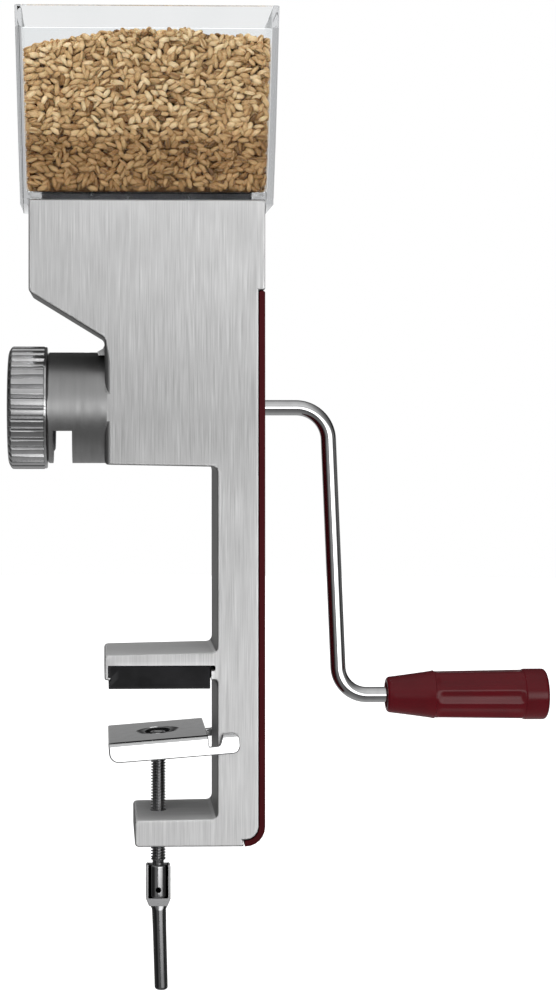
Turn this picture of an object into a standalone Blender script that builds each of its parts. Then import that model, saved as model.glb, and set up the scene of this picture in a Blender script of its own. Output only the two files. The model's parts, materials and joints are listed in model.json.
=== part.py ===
"""Grain mill with a table clamp, turned by a crank.

Metres, +Z up. The origin is the centre of the clamp pad's underside, which rests on the table top.
+X points from the column to the crank and +Y to the back of the mill. The crank, the burrs and the
adjuster ring turn about the mill axis, which runs along X. The clamp screw runs along Z.
"""

import math

import bmesh
import bpy
from mathutils import Matrix, Vector

GAP = 0.0003  # between faces that touch on the real mill
WELD = 0.00001

# Housing: outline in the XZ plane
DEPTH = 0.056
BODY_LEFT = -0.0664
BODY_RIGHT = 0.0536
BODY_TOP = 0.248
SLOPE_TOP = 0.2015
SLOPE_BOTTOM = 0.178
NECK_LEFT = -0.0279
THROAT_TOP_LEFT = 0.1137
THROAT_TOP_RIGHT = 0.1126
COLUMN_INNER = 0.0293
ARM_LEFT = -0.028
ARM_TOP_TIP = 0.0172
ARM_TOP_ROOT = 0.0184
ARM_WEB = 0.0119
LIP_BOTTOM = 0.0044
LOWER_ARM_LEFT = -0.0126
LOWER_ARM_TOP = -0.066
HOUSING_BOTTOM = -0.0801
OUTER_CORNER = 0.010
EDGE_ROUND = 0.0009

# Trim strip in the right side
TRIM_THICKNESS = 0.003
TRIM_TOP = 0.202
TRIM_END = 0.0432

# Rubber pad under the upper arm
PAD_LEFT = -0.0259
PAD_RIGHT = 0.0257
PAD_TOP = 0.0116

# Mill axis, barrel and bores
AXIS_Z = 0.1426
BARREL_RADIUS = 0.02875
BARREL_LEFT = -0.0570
SPIGOT_RADIUS = 0.025
SPIGOT_LEFT = -0.0722
BURR_BORE = 0.023
BURR_SHOULDER = -0.0287
FEED_BORE = 0.013
FEED_END = 0.024
SPRING_BORE = 0.010
BUSH_BORE = 0.0072
BUSH_START = 0.040
OUTLET_LEFT = -0.0544
OUTLET_RIGHT = -0.0445
OUTLET_TOP = AXIS_Z - 0.0118

# Grain pocket, machined from behind, and its cover
POCKET_FRONT = -0.023
COVER_THICKNESS = 0.003
COVER_LEFT = -0.0620
COVER_RIGHT = 0.0480
COVER_BOTTOM = 0.1475
COVER_TOP = 0.2420
INLET_X = (-0.050, 0.038)
INLET_HALF_DEPTH = 0.019

# Hopper
HOPPER_X = -0.0064
HOPPER_WALL = 0.003
HOPPER_FLOOR = BODY_TOP + GAP
HOPPER_KNEE = 0.281
HOPPER_TOP = 0.3459
HOPPER_HALF_WIDTH = (0.0643, 0.0670)
HOPPER_HALF_DEPTH = (0.0282, 0.0320)
HOPPER_SKIRT = 0.0024

# Adjuster ring and thrust parts
RING_RADIUS = 0.03185
RING_LEFT = -0.0774
RING_RIGHT = BARREL_LEFT - GAP
RING_RIDGES = 36
RING_RIDGE_HEIGHT = 0.0011
PLUG_RADIUS = 0.007
BALL_RADIUS = 0.003

# Shaft, crank and grip
ROD_RADIUS = 0.004
SHAFT_RADIUS = 0.005
SOCKET_RADIUS = 0.007
SHAFT_END = -0.0615
SOCKET_END = 0.028
CRANK_THROW = 0.1496
CRANK_ELBOW = (0.0881, 0.0)
CRANK_KNEE = (0.0944, -CRANK_THROW)
GRIP_START = 0.119
GRIP_END = 0.203
GRIP_SCALLOPS = 8

# Clamp screw, jaw and tommy handle
SCREW_RADIUS = 0.004
SCREW_TOP = -0.0335
SCREW_HEAD_TOP = -0.0944
SCREW_HEAD_BOTTOM = -0.1116
SCREW_HEAD_RADIUS = 0.005
TOMMY_PIN_Z = -0.1025
TOMMY_TIP = -0.1598
TOMMY_LEAN = math.radians(1.6)
JAW_Z = -0.0250
JAW_TILT = math.radians(4.5)
JAW_SHEET = 0.0018
JAW_LEFT = -0.0259
JAW_RIGHT = 0.0248
JAW_HALF_DEPTH = 0.0315
JAW_LIP = 0.0103
JAW_HOOK = 0.0405

parts = None
cutters = None


def clear_scene():
    for obj in list(bpy.data.objects):
        bpy.data.objects.remove(obj, do_unlink=True)


def new_collection(name):
    made = bpy.data.collections.new(name)
    bpy.context.scene.collection.children.link(made)
    return made


def material(name, colour, roughness, metallic=0.0, transmission=0.0):
    made = bpy.data.materials.new(name)
    made.use_nodes = True
    shader = made.node_tree.nodes["Principled BSDF"]
    shader.inputs["Base Color"].default_value = (*colour, 1.0)
    shader.inputs["Roughness"].default_value = roughness
    shader.inputs["Metallic"].default_value = metallic
    shader.inputs["Transmission Weight"].default_value = transmission
    return made


# Outlines


def rounded(corners, closed=True, steps=4):
    """Points of an outline whose corners, given as (x, y, radius), are rounded by arcs."""
    points = []
    count = len(corners)
    for index, (x, y, radius) in enumerate(corners):
        end_point = not closed and index in (0, count - 1)
        if radius == 0 or end_point:
            points.append((x, y))
            continue
        corner = Vector((x, y))
        before = (Vector(corners[index - 1][:2]) - corner).normalized()
        after = (Vector(corners[(index + 1) % count][:2]) - corner).normalized()
        half = before.angle(after) / 2
        centre = corner + (before + after).normalized() * radius / math.sin(half)
        start = (corner + before * radius / math.tan(half) - centre).normalized()
        end = (corner + after * radius / math.tan(half) - centre).normalized()
        for step in range(steps + 1):
            arm = start.slerp(end, step / steps)
            points.append(tuple(centre + arm * radius))
    return points


def rounded_box(left, right, low, high, radius, steps=3):
    corners = [(left, low, radius), (right, low, radius), (right, high, radius), (left, high, radius)]
    return rounded(corners, steps=steps)


def circle(radius, count, centre=(0.0, 0.0)):
    turn = 2 * math.pi / count
    return [
        (centre[0] + radius * math.cos(turn * step), centre[1] + radius * math.sin(turn * step))
        for step in range(count)
    ]


# Solids


def add_object(name, mesh, finish=None, parent=None, group=None):
    obj = bpy.data.objects.new(name, mesh)
    (group or parts).objects.link(obj)
    if finish:
        mesh.materials.append(finish)
    obj.parent = parent
    return obj


def smooth(obj):
    obj.data.shade_smooth()
    obj.data.set_sharp_from_angle(angle=math.radians(35))


def curve_mesh(name, curve):
    """The curve's solid as a welded mesh whose flat caps are single faces."""
    source = bpy.data.objects.new(name, curve)
    bpy.context.scene.collection.objects.link(source)
    bpy.context.view_layer.update()
    graph = bpy.context.evaluated_depsgraph_get()
    mesh = bpy.data.meshes.new_from_object(source.evaluated_get(graph))
    bpy.data.objects.remove(source)
    cage = bmesh.new()
    cage.from_mesh(mesh)
    bmesh.ops.remove_doubles(cage, verts=cage.verts, dist=WELD)
    bmesh.ops.dissolve_limit(cage, angle_limit=math.radians(1), verts=cage.verts, edges=cage.edges)
    cage.to_mesh(mesh)
    cage.free()
    mesh.materials.clear()
    return mesh


def plate(name, outlines, thickness, upright=True, **placing):
    """A flat outline, with holes, extruded evenly to both sides: along Y if upright, else along Z."""
    curve = bpy.data.curves.new(name, "CURVE")
    curve.dimensions = "2D"
    curve.fill_mode = "BOTH"
    curve.extrude = thickness / 2
    for outline in outlines:
        spline = curve.splines.new("POLY")
        spline.points.add(len(outline) - 1)
        spline.use_cyclic_u = True
        for point, (x, y) in zip(spline.points, outline):
            point.co = (x, y, 0.0, 1.0)
    mesh = curve_mesh(name, curve)
    if upright:
        mesh.transform(Matrix.Rotation(math.radians(90), 4, "X"))
    return add_object(name, mesh, **placing)


def rod(name, route, radius, sides_step=6, **placing):
    """A round bar along points in the XZ plane."""
    curve = bpy.data.curves.new(name, "CURVE")
    curve.dimensions = "3D"
    curve.bevel_depth = radius
    curve.bevel_resolution = sides_step
    curve.use_fill_caps = True
    spline = curve.splines.new("POLY")
    spline.points.add(len(route) - 1)
    for point, place in zip(spline.points, route):
        x, y, z = place if len(place) == 3 else (place[0], 0.0, place[1])
        point.co = (x, y, z, 1.0)
    obj = add_object(name, curve_mesh(name, curve), **placing)
    smooth(obj)
    return obj


def turned(name, profile, along="Z", closed=False, steps=24, **placing):
    """A turned solid from (position, radius) points, running down its outer side from the + end.

    A closed profile is a ring with a hole and returns up its inner side. An open one starts and ends
    on the axis.
    """
    mesh = bpy.data.meshes.new(name)
    points = [(radius, 0.0, position) for position, radius in profile]
    count = len(points)
    edges = [(index, (index + 1) % count) for index in range(count if closed else count - 1)]
    mesh.from_pydata(points, edges, [])
    obj = add_object(name, mesh, **placing)
    if along == "X":
        obj.rotation_euler.y = math.radians(90)
    if along == "Y":
        obj.rotation_euler.x = math.radians(-90)
    screw = obj.modifiers.new("turn", "SCREW")
    screw.steps = steps
    screw.render_steps = steps
    screw.use_merge_vertices = True
    screw.merge_threshold = WELD
    screw.use_smooth_shade = True
    return obj


def loft(name, rings, closed=False, **placing):
    """A solid through rings of points, each with the same count, running anticlockwise as seen from its end."""
    mesh = bpy.data.meshes.new(name)
    cage = bmesh.new()
    rows = [[cage.verts.new(point) for point in ring] for ring in rings]
    pairs = list(zip(rows, rows[1:]))
    if closed:
        pairs.append((rows[-1], rows[0]))
    for lower, upper in pairs:
        for index in range(len(lower)):
            other = (index + 1) % len(lower)
            cage.faces.new((lower[index], lower[other], upper[other], upper[index]))
    if not closed:
        cage.faces.new(reversed(rows[0]))
        cage.faces.new(rows[-1])
    cage.to_mesh(mesh)
    cage.free()
    obj = add_object(name, mesh, **placing)
    smooth(obj)
    return obj


def box_cutter(name, low, high, **placing):
    cage = bmesh.new()
    size = Vector(high) - Vector(low)
    centre = (Vector(high) + Vector(low)) / 2
    place = Matrix.Translation(centre) @ Matrix.Diagonal((*size, 1.0))
    bmesh.ops.create_cube(cage, size=1.0, matrix=place)
    mesh = bpy.data.meshes.new(name)
    cage.to_mesh(mesh)
    cage.free()
    return add_object(name, mesh, group=cutters, **placing)


def drill(name, start, end, radius, sides=24, **placing):
    """A cylindrical cutter from start to end."""
    start = Vector(start)
    end = Vector(end)
    cage = bmesh.new()
    turn = (end - start).to_track_quat("Z", "Y").to_matrix().to_4x4()
    place = Matrix.Translation((start + end) / 2) @ turn
    bmesh.ops.create_cone(
        cage,
        cap_ends=True,
        segments=sides,
        radius1=radius,
        radius2=radius,
        depth=(end - start).length,
        matrix=place,
    )
    mesh = bpy.data.meshes.new(name)
    cage.to_mesh(mesh)
    cage.free()
    return add_object(name, mesh, group=cutters, **placing)


def combine(obj, other, operation="DIFFERENCE"):
    modifier = obj.modifiers.new(other.name, "BOOLEAN")
    modifier.operation = operation
    modifier.object = other
    other.hide_render = True
    other.display_type = "WIRE"


def empty(name, place, parent=None):
    made = bpy.data.objects.new(name, None)
    made.empty_display_size = 0.02
    made.location = place
    made.parent = parent
    parts.objects.link(made)
    return made


# Fixed pieces


def housing_outline():
    trim_face = BODY_RIGHT - TRIM_THICKNESS - GAP
    trim_floor = HOUSING_BOTTOM + TRIM_THICKNESS + GAP
    corners = [
        (BODY_LEFT, BODY_TOP, 0.0015),
        (BODY_LEFT, SLOPE_TOP, 0.003),
        (NECK_LEFT, SLOPE_BOTTOM, 0.003),
        (NECK_LEFT, THROAT_TOP_LEFT, 0.002),
        (COLUMN_INNER, THROAT_TOP_RIGHT, 0.003),
        (COLUMN_INNER, ARM_TOP_ROOT, 0.003),
        (ARM_LEFT, ARM_TOP_TIP, 0.002),
        (ARM_LEFT, LIP_BOTTOM, 0.0012),
        (COLUMN_INNER, LIP_BOTTOM, 0.0015),
        (COLUMN_INNER, LOWER_ARM_TOP, 0.003),
        (LOWER_ARM_LEFT, LOWER_ARM_TOP - 0.0006, 0.002),
        (LOWER_ARM_LEFT, HOUSING_BOTTOM, 0.002),
        (TRIM_END - GAP, HOUSING_BOTTOM, 0.0),
        (TRIM_END - GAP - EDGE_ROUND, trim_floor, 0.0),
        (trim_face, trim_floor, OUTER_CORNER - TRIM_THICKNESS - GAP),
        (trim_face, TRIM_TOP + GAP, 0.0),
        (BODY_RIGHT, TRIM_TOP + GAP, 0.0),
        (BODY_RIGHT, BODY_TOP, 0.0015),
    ]
    return rounded(corners)


def pad_groove_outline():
    """Groove that holds the pad: a curled lip on the left, and an undercut beside the column."""
    lip_inner = PAD_LEFT - GAP
    lip_curl = PAD_LEFT + 0.0008
    curl_top = LIP_BOTTOM + 0.0012
    pad_wall = PAD_RIGHT + 0.0006
    corners = [
        (lip_curl, LIP_BOTTOM - 0.002, 0.0),
        (lip_curl, curl_top, 0.0),
        (lip_inner, curl_top, 0.0),
        (lip_inner, ARM_WEB, 0.0),
        (pad_wall + 0.002, ARM_WEB, 0.001),
        (pad_wall + 0.002, ARM_WEB - 0.0029, 0.001),
        (pad_wall, ARM_WEB - 0.0029, 0.0),
        (pad_wall, LIP_BOTTOM - 0.002, 0.0),
    ]
    return rounded(corners)


def pocket_outline():
    """Grain pocket: wide under the inlet, then a funnel down to the feed screw."""
    corners = [
        (INLET_X[0], BODY_TOP - 0.010, 0.003),
        (INLET_X[0], 0.208, 0.006),
        (-0.014, 0.174, 0.006),
        (-0.014, AXIS_Z + 0.009, 0.0),
        (0.012, AXIS_Z + 0.009, 0.0),
        (0.012, 0.174, 0.006),
        (INLET_X[1], 0.208, 0.006),
        (INLET_X[1], BODY_TOP - 0.010, 0.003),
    ]
    return rounded(corners)


def cover_outline(grow=0.0):
    corners = [
        (COVER_LEFT - grow, COVER_TOP + grow, 0.004),
        (COVER_LEFT - grow, 0.2030 - grow, 0.004),
        (-0.0250 - grow, 0.1800 - grow, 0.004),
        (-0.0250 - grow, COVER_BOTTOM - grow, 0.004),
        (COVER_RIGHT + grow, COVER_BOTTOM - grow, 0.004),
        (COVER_RIGHT + grow, COVER_TOP + grow, 0.004),
    ]
    return rounded(corners)


def cover_screw_places():
    """(x, z) of the six cover screws, in the rim between the pocket and the cover's edge."""
    return [
        (-0.0560, 0.2385),
        (-0.0560, 0.2090),
        (-0.0200, 0.1695),
        (0.0430, 0.1695),
        (0.0430, 0.2060),
        (0.0430, 0.2385),
    ]


def outer_axis_cutter(name, left, right, radius, **placing):
    return drill(name, (left, 0.0, AXIS_Z), (right, 0.0, AXIS_Z), radius, sides=32, **placing)


def build_housing(finish):
    housing = plate("housing", [housing_outline()], DEPTH, finish=finish)
    rounding = housing.modifiers.new("edges", "BEVEL")
    rounding.width = EDGE_ROUND
    rounding.segments = 2
    rounding.limit_method = "ANGLE"
    rounding.angle_limit = math.radians(60)
    rounding.use_clamp_overlap = False
    barrel = turned(
        "barrel_form",
        [
            (-0.0203, 0.0),
            (-0.0203, BARREL_RADIUS),
            (BARREL_LEFT + 0.0006, BARREL_RADIUS),
            (BARREL_LEFT, BARREL_RADIUS - 0.0006),
            (BARREL_LEFT, SPIGOT_RADIUS),
            (SPIGOT_LEFT + 0.001, SPIGOT_RADIUS),
            (SPIGOT_LEFT, SPIGOT_RADIUS - 0.001),
            (SPIGOT_LEFT, 0.0),
        ],
        along="X",
        steps=48,
        group=cutters,
    )
    barrel.location.z = AXIS_Z
    faced = DEPTH / 2 - 0.00004
    slab = box_cutter("barrel_slab_form", (-0.090, -faced, AXIS_Z - 0.040), (0.010, faced, AXIS_Z + 0.040))
    combine(barrel, slab, "INTERSECT")
    combine(housing, barrel, "UNION")
    fillet = plate("fillet_form", [fillet_outline()], 0.0500, group=cutters)
    combine(housing, fillet, "UNION")
    groove = plate("pad_groove_form", [pad_groove_outline()], DEPTH + 0.010, group=cutters)
    combine(housing, groove)
    pocket = plate("pocket_form", [pocket_outline()], DEPTH / 2 + 0.004 - POCKET_FRONT, group=cutters)
    pocket.location.y = (DEPTH / 2 + 0.004 + POCKET_FRONT) / 2
    combine(housing, pocket)
    recess = plate("recess_form", [cover_outline(GAP)], 0.008, group=cutters)
    recess.location.y = DEPTH / 2 - COVER_THICKNESS - GAP + 0.004
    combine(housing, recess)
    inlet = box_cutter(
        "inlet_form",
        (INLET_X[0], -INLET_HALF_DEPTH, BODY_TOP - 0.014),
        (INLET_X[1], INLET_HALF_DEPTH, BODY_TOP + 0.010),
    )
    combine(housing, inlet)
    bores = turned(
        "stepped_bore_form",
        [
            (BODY_RIGHT + 0.004, 0.0),
            (BODY_RIGHT + 0.004, BUSH_BORE),
            (BUSH_START, BUSH_BORE),
            (BUSH_START, SPRING_BORE),
            (FEED_END, SPRING_BORE),
            (FEED_END, FEED_BORE),
            (BURR_SHOULDER, FEED_BORE),
            (BURR_SHOULDER, BURR_BORE),
            (SPIGOT_LEFT - 0.004, BURR_BORE),
            (SPIGOT_LEFT - 0.004, 0.0),
        ],
        along="X",
        steps=36,
        group=cutters,
    )
    bores.location.z = AXIS_Z
    combine(housing, bores)
    outlet = box_cutter(
        "outlet_form",
        (OUTLET_LEFT, -0.040, AXIS_Z - 0.040),
        (OUTLET_RIGHT, 0.040, OUTLET_TOP),
    )
    combine(housing, outlet)
    thread = drill("thread_form", (0.0, 0.0, -0.100), (0.0, 0.0, -0.050), SCREW_RADIUS + GAP)
    combine(housing, thread)
    for number, (x, z) in enumerate(cover_screw_places(), start=1):
        hole = drill(
            f"cover_hole_form_{number}",
            (x, DEPTH / 2 - 0.011, z),
            (x, DEPTH / 2 + 0.004, z),
            0.0015 + GAP,
            sides=12,
        )
        combine(housing, hole)


def fillet_outline():
    """Cast fillet where the slope comes down on the barrel."""
    top = AXIS_Z + BARREL_RADIUS
    return [
        (NECK_LEFT + 0.0021, top + 0.0041),
        (NECK_LEFT + 0.0003, top + 0.0037),
        (NECK_LEFT - 0.0009, top + 0.0012),
        (NECK_LEFT - 0.0036, top - 0.0003),
        (NECK_LEFT - 0.0033, top - 0.0021),
        (NECK_LEFT + 0.0021, top - 0.0021),
    ]


def build_rear_cover(finish, screw_finish):
    holes = [circle(0.0015 + GAP, 12, place) for place in cover_screw_places()]
    cover = plate("rear_cover", [cover_outline(), *holes], COVER_THICKNESS, finish=finish)
    cover.location.y = DEPTH / 2 - COVER_THICKNESS / 2
    for number, (x, z) in enumerate(cover_screw_places(), start=1):
        sink = turned(
            f"cover_sink_form_{number}",
            [(0.002, 0.0), (0.002, 0.0052), (-0.0021, 0.0011), (-0.0021, 0.0)],
            along="Y",
            steps=16,
            group=cutters,
        )
        sink.location = (x, DEPTH / 2, z)
        combine(cover, sink)
        screw = turned(
            f"cover_screw_{number}",
            [
                (-0.0002, 0.0),
                (-0.0002, 0.00265),
                (-0.0019, 0.0013),
                (-0.0098, 0.0013),
                (-0.0102, 0.0009),
                (-0.0102, 0.0),
            ],
            along="Y",
            steps=12,
            finish=screw_finish,
        )
        screw.location = (x, DEPTH / 2, z)


def build_side_trim(finish):
    inner = BODY_RIGHT - TRIM_THICKNESS
    floor = HOUSING_BOTTOM + TRIM_THICKNESS
    corners = [
        (BODY_RIGHT, TRIM_TOP, 0.0012),
        (inner, TRIM_TOP, 0.0012),
        (inner, floor, OUTER_CORNER - TRIM_THICKNESS),
        (TRIM_END, floor, 0.0003),
        (TRIM_END, HOUSING_BOTTOM, 0.0003),
        (BODY_RIGHT, HOUSING_BOTTOM, OUTER_CORNER),
    ]
    trim = plate("side_trim", [rounded(corners, steps=6)], DEPTH - 0.0004, finish=finish)
    hole = outer_axis_cutter("trim_hole_form", inner - 0.004, BODY_RIGHT + 0.004, ROD_RADIUS + 0.0006)
    combine(trim, hole)


def build_clamp_pad(finish):
    curl = LIP_BOTTOM + 0.0012
    corners = [
        (PAD_LEFT, 0.0, 0.0004),
        (PAD_RIGHT, 0.0, 0.0004),
        (PAD_RIGHT, PAD_TOP, 0.0),
        (PAD_LEFT, PAD_TOP, 0.0),
        (PAD_LEFT, curl + GAP, 0.0),
        (PAD_LEFT + 0.0011, curl + GAP, 0.0),
        (PAD_LEFT + 0.0011, LIP_BOTTOM - GAP, 0.0),
        (PAD_LEFT, LIP_BOTTOM - GAP, 0.0),
    ]
    plate("clamp_pad", [rounded(corners)], DEPTH - 0.0006, finish=finish)


def toothed_ring(x, root, tip, teeth, twist=0.0):
    """Ring of points about the mill axis at x, two at each root and two at each tip."""
    points = []
    for tooth in range(teeth):
        for part, radius in ((0.00, root), (0.25, root), (0.45, tip), (0.80, tip)):
            angle = 2 * math.pi * (tooth + part) / teeth + twist
            points.append((x, radius * math.cos(angle), radius * math.sin(angle)))
    return points


def build_outer_burr(finish, pin_finish, axis):
    teeth = 14
    right = BURR_SHOULDER - GAP
    left = OUTLET_RIGHT + GAP
    count = teeth * 4
    outer = BURR_BORE - GAP

    def ring(x, radius):
        return [(x, y, z) for y, z in circle(radius, count)]

    stations = 4
    inner = []
    for station in range(stations + 1):
        share = station / stations
        x = right + (left - right) * share
        radius = 0.0135 + 0.0055 * share
        inner.append(toothed_ring(x, radius, radius - 0.0008, teeth, twist=0.35 * share))
    burr = loft("outer_burr", [ring(left, outer), ring(right, outer), *inner], closed=True, finish=finish, parent=axis)
    slot = drill(
        "burr_pin_form",
        (-0.0370, 0.0, AXIS_Z + 0.0199),
        (-0.0370, 0.0, AXIS_Z + 0.0360),
        0.0015 + GAP,
        sides=16,
    )
    combine(burr, slot)
    combine(bpy.data.objects["housing"], slot)
    pin = turned(
        "outer_burr_pin",
        [
            (BARREL_RADIUS - 0.0004, 0.0),
            (BARREL_RADIUS - 0.0004, 0.0015),
            (0.0202, 0.0015),
            (0.0202, 0.0),
        ],
        steps=16,
        finish=pin_finish,
        parent=axis,
    )
    pin.location.x = -0.0370


def build_end_plate(finish, axis):
    left = BARREL_LEFT - 0.0004
    hole = PLUG_RADIUS + GAP
    turned(
        "end_plate",
        [
            (OUTLET_LEFT - 0.0002, hole),
            (OUTLET_LEFT - 0.0002, BURR_BORE - GAP),
            (left - 0.004, BURR_BORE - GAP),
            (left - 0.004, hole),
        ],
        along="X",
        closed=True,
        steps=32,
        finish=finish,
        parent=axis,
    )


def build_right_bush(finish, axis):
    hole = ROD_RADIUS + GAP
    turned(
        "right_bush",
        [
            (BODY_RIGHT - TRIM_THICKNESS - 0.0008, hole),
            (BODY_RIGHT - TRIM_THICKNESS - 0.0008, BUSH_BORE - GAP),
            (BUSH_START - GAP, BUSH_BORE - GAP),
            (BUSH_START - GAP, SPRING_BORE - GAP),
            (BUSH_START - 0.0020, SPRING_BORE - GAP),
            (BUSH_START - 0.0020, hole),
        ],
        along="X",
        closed=True,
        finish=finish,
        parent=axis,
    )


# Hopper


def build_hopper(finish):
    slope = (HOPPER_HALF_WIDTH[1] - HOPPER_HALF_WIDTH[0]) / (HOPPER_TOP - HOPPER_FLOOR)

    def ring(z, shrink, half_depth, radius):
        half_width = HOPPER_HALF_WIDTH[0] + slope * (z - HOPPER_FLOOR) - shrink
        depth = half_depth - shrink
        outline = rounded_box(HOPPER_X - half_width, HOPPER_X + half_width, -depth, depth, radius)
        return [(x, y, z) for x, y in outline]

    def inlet(z):
        outline = rounded_box(*INLET_X, -INLET_HALF_DEPTH, INLET_HALF_DEPTH, 0.002)
        return [(x, y, z) for x, y in outline]

    low, high = HOPPER_HALF_DEPTH
    ledge = HOPPER_FLOOR + 0.0036
    hopper = loft(
        "hopper",
        [
            ring(HOPPER_FLOOR, 0.0, low, 0.0020),
            ring(HOPPER_KNEE, 0.0, high, 0.0020),
            ring(HOPPER_TOP, 0.0, high, 0.0020),
            ring(HOPPER_TOP, HOPPER_WALL, high, 0.0010),
            ring(HOPPER_KNEE, HOPPER_WALL, high, 0.0010),
            ring(ledge, HOPPER_WALL, low + 0.0004, 0.0010),
            inlet(ledge),
            inlet(HOPPER_FLOOR),
        ],
        closed=True,
        finish=finish,
    )
    for name, inner, outer in (
        ("hopper_skirt_left_form", BODY_LEFT - GAP, HOPPER_X - HOPPER_HALF_WIDTH[0]),
        ("hopper_skirt_right_form", BODY_RIGHT + GAP, HOPPER_X + HOPPER_HALF_WIDTH[0]),
    ):
        skirt = box_cutter(
            name,
            (min(inner, outer), -0.0262, BODY_TOP - HOPPER_SKIRT),
            (max(inner, outer), 0.0262, HOPPER_FLOOR + 0.0015),
        )
        combine(hopper, skirt, "UNION")


# Adjuster


def build_adjuster(ring_finish, plug_finish, ball_finish, axis):
    carrier = empty("burr_gap_axis", (0.0, 0.0, 0.0), axis)
    turning = empty("adjuster_axis", (0.0, 0.0, 0.0), carrier)
    count = RING_RIDGES * 4
    bore = SPIGOT_RADIUS + GAP
    shoulder = RING_RADIUS - 0.0016
    root = RING_RADIUS - RING_RIDGE_HEIGHT

    def plain(x, radius):
        return [(x, y, -z) for y, z in circle(radius, count)]

    def ridged(x):
        return [(x, y, -z) for _, y, z in toothed_ring(x, root, RING_RADIUS, RING_RIDGES)]

    loft(
        "adjuster_ring",
        [
            plain(SPIGOT_LEFT - 0.0009, bore),
            plain(RING_RIGHT, bore),
            plain(RING_RIGHT, shoulder),
            ridged(RING_RIGHT - 0.0013),
            ridged(RING_LEFT + 0.0013),
            plain(RING_LEFT, shoulder),
        ],
        finish=ring_finish,
        parent=turning,
    )
    plug_left = SPIGOT_LEFT - 0.0009 + GAP
    bore_bottom = SHAFT_END - 2 * BALL_RADIUS - 2 * GAP
    turned(
        "thrust_plug",
        [
            (bore_bottom, 0.0),
            (bore_bottom, ROD_RADIUS + GAP),
            (OUTLET_LEFT - 0.0012, ROD_RADIUS + GAP),
            (OUTLET_LEFT - 0.0012, PLUG_RADIUS),
            (plug_left, PLUG_RADIUS),
            (plug_left, 0.0),
        ],
        along="X",
        finish=plug_finish,
        parent=carrier,
    )
    cage = bmesh.new()
    bmesh.ops.create_uvsphere(cage, u_segments=16, v_segments=10, radius=BALL_RADIUS)
    mesh = bpy.data.meshes.new("thrust_ball")
    cage.to_mesh(mesh)
    cage.free()
    ball = add_object("thrust_ball", mesh, finish=ball_finish, parent=carrier)
    ball.location.x = SHAFT_END - GAP - BALL_RADIUS
    smooth(ball)
    return carrier


# Shaft, feed screw, burr, crank and grip


def build_shaft(finish, screw_finish, turning):
    socket_floor = SOCKET_END - 0.0153
    shaft = turned(
        "drive_shaft",
        [
            (socket_floor, 0.0),
            (socket_floor, ROD_RADIUS + GAP),
            (SOCKET_END, ROD_RADIUS + GAP),
            (SOCKET_END, SOCKET_RADIUS),
            (socket_floor - 0.0009, SOCKET_RADIUS),
            (socket_floor - 0.0009, SHAFT_RADIUS),
            (OUTLET_LEFT + 0.0012, SHAFT_RADIUS),
            (OUTLET_LEFT + 0.0012, ROD_RADIUS),
            (SHAFT_END, ROD_RADIUS),
            (SHAFT_END, 0.0),
        ],
        along="X",
        finish=finish,
        parent=turning,
    )
    x = SOCKET_END - 0.007
    hole = drill("grub_hole_form", (x, 0.0, 0.001), (x, 0.0, 0.012), 0.0015 + GAP, sides=12, parent=turning)
    combine(shaft, hole)
    grub = turned(
        "crank_grub_screw",
        [
            (SOCKET_RADIUS - 0.0002, 0.0),
            (SOCKET_RADIUS - 0.0002, 0.0015),
            (ROD_RADIUS + 0.0005, 0.0015),
            (ROD_RADIUS + 0.0005, 0.0),
        ],
        steps=12,
        finish=screw_finish,
        parent=turning,
    )
    grub.location.x = x
    return shaft


def add_drive_pin(name, x, reach, shaft, sleeve, finish, turning):
    """A 3 mm cross pin through the shaft and the sleeve on it."""
    hole = drill(name + "_form", (x, 0.0, -0.030), (x, 0.0, 0.030), 0.0015 + GAP, sides=16, parent=turning)
    combine(shaft, hole)
    combine(sleeve, hole)
    pin = turned(
        name,
        [(reach, 0.0), (reach, 0.0015), (-reach, 0.0015), (-reach, 0.0)],
        steps=12,
        finish=finish,
        parent=turning,
    )
    pin.location.x = x


def build_feed_screw(finish, pin_finish, shaft, turning):
    right = 0.0114
    left = -0.0262
    core = SOCKET_RADIUS
    screw = turned(
        "feed_screw",
        [
            (right, SHAFT_RADIUS + GAP),
            (right, core),
            (left, core),
            (left, SHAFT_RADIUS + GAP),
        ],
        along="X",
        closed=True,
        finish=finish,
        parent=turning,
    )
    turns = 2.25
    steps = 45
    width = 0.0024
    pitch = (right - left - width - 0.0006) / turns
    start = right - 0.0003
    cage = bmesh.new()
    section = [
        (start, 0.0, core - 0.0008),
        (start - width, 0.0, core - 0.0008),
        (start - width, 0.0, FEED_BORE - 0.0007),
        (start, 0.0, FEED_BORE - 0.0007),
    ]
    face = cage.faces.new([cage.verts.new(point) for point in section])
    bmesh.ops.spin(
        cage,
        geom=[face, *face.edges, *face.verts],
        cent=(0.0, 0.0, 0.0),
        axis=(1.0, 0.0, 0.0),
        dvec=(-pitch * turns / steps, 0.0, 0.0),
        angle=2 * math.pi * turns,
        steps=steps,
    )
    bmesh.ops.recalc_face_normals(cage, faces=cage.faces)
    mesh = bpy.data.meshes.new("flight_form")
    cage.to_mesh(mesh)
    cage.free()
    flight = add_object("flight_form", mesh, parent=turning, group=cutters)
    combine(screw, flight, "UNION")
    add_drive_pin("feed_screw_pin", (left + right) / 2, core - 0.0003, shaft, screw, pin_finish, turning)


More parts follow.
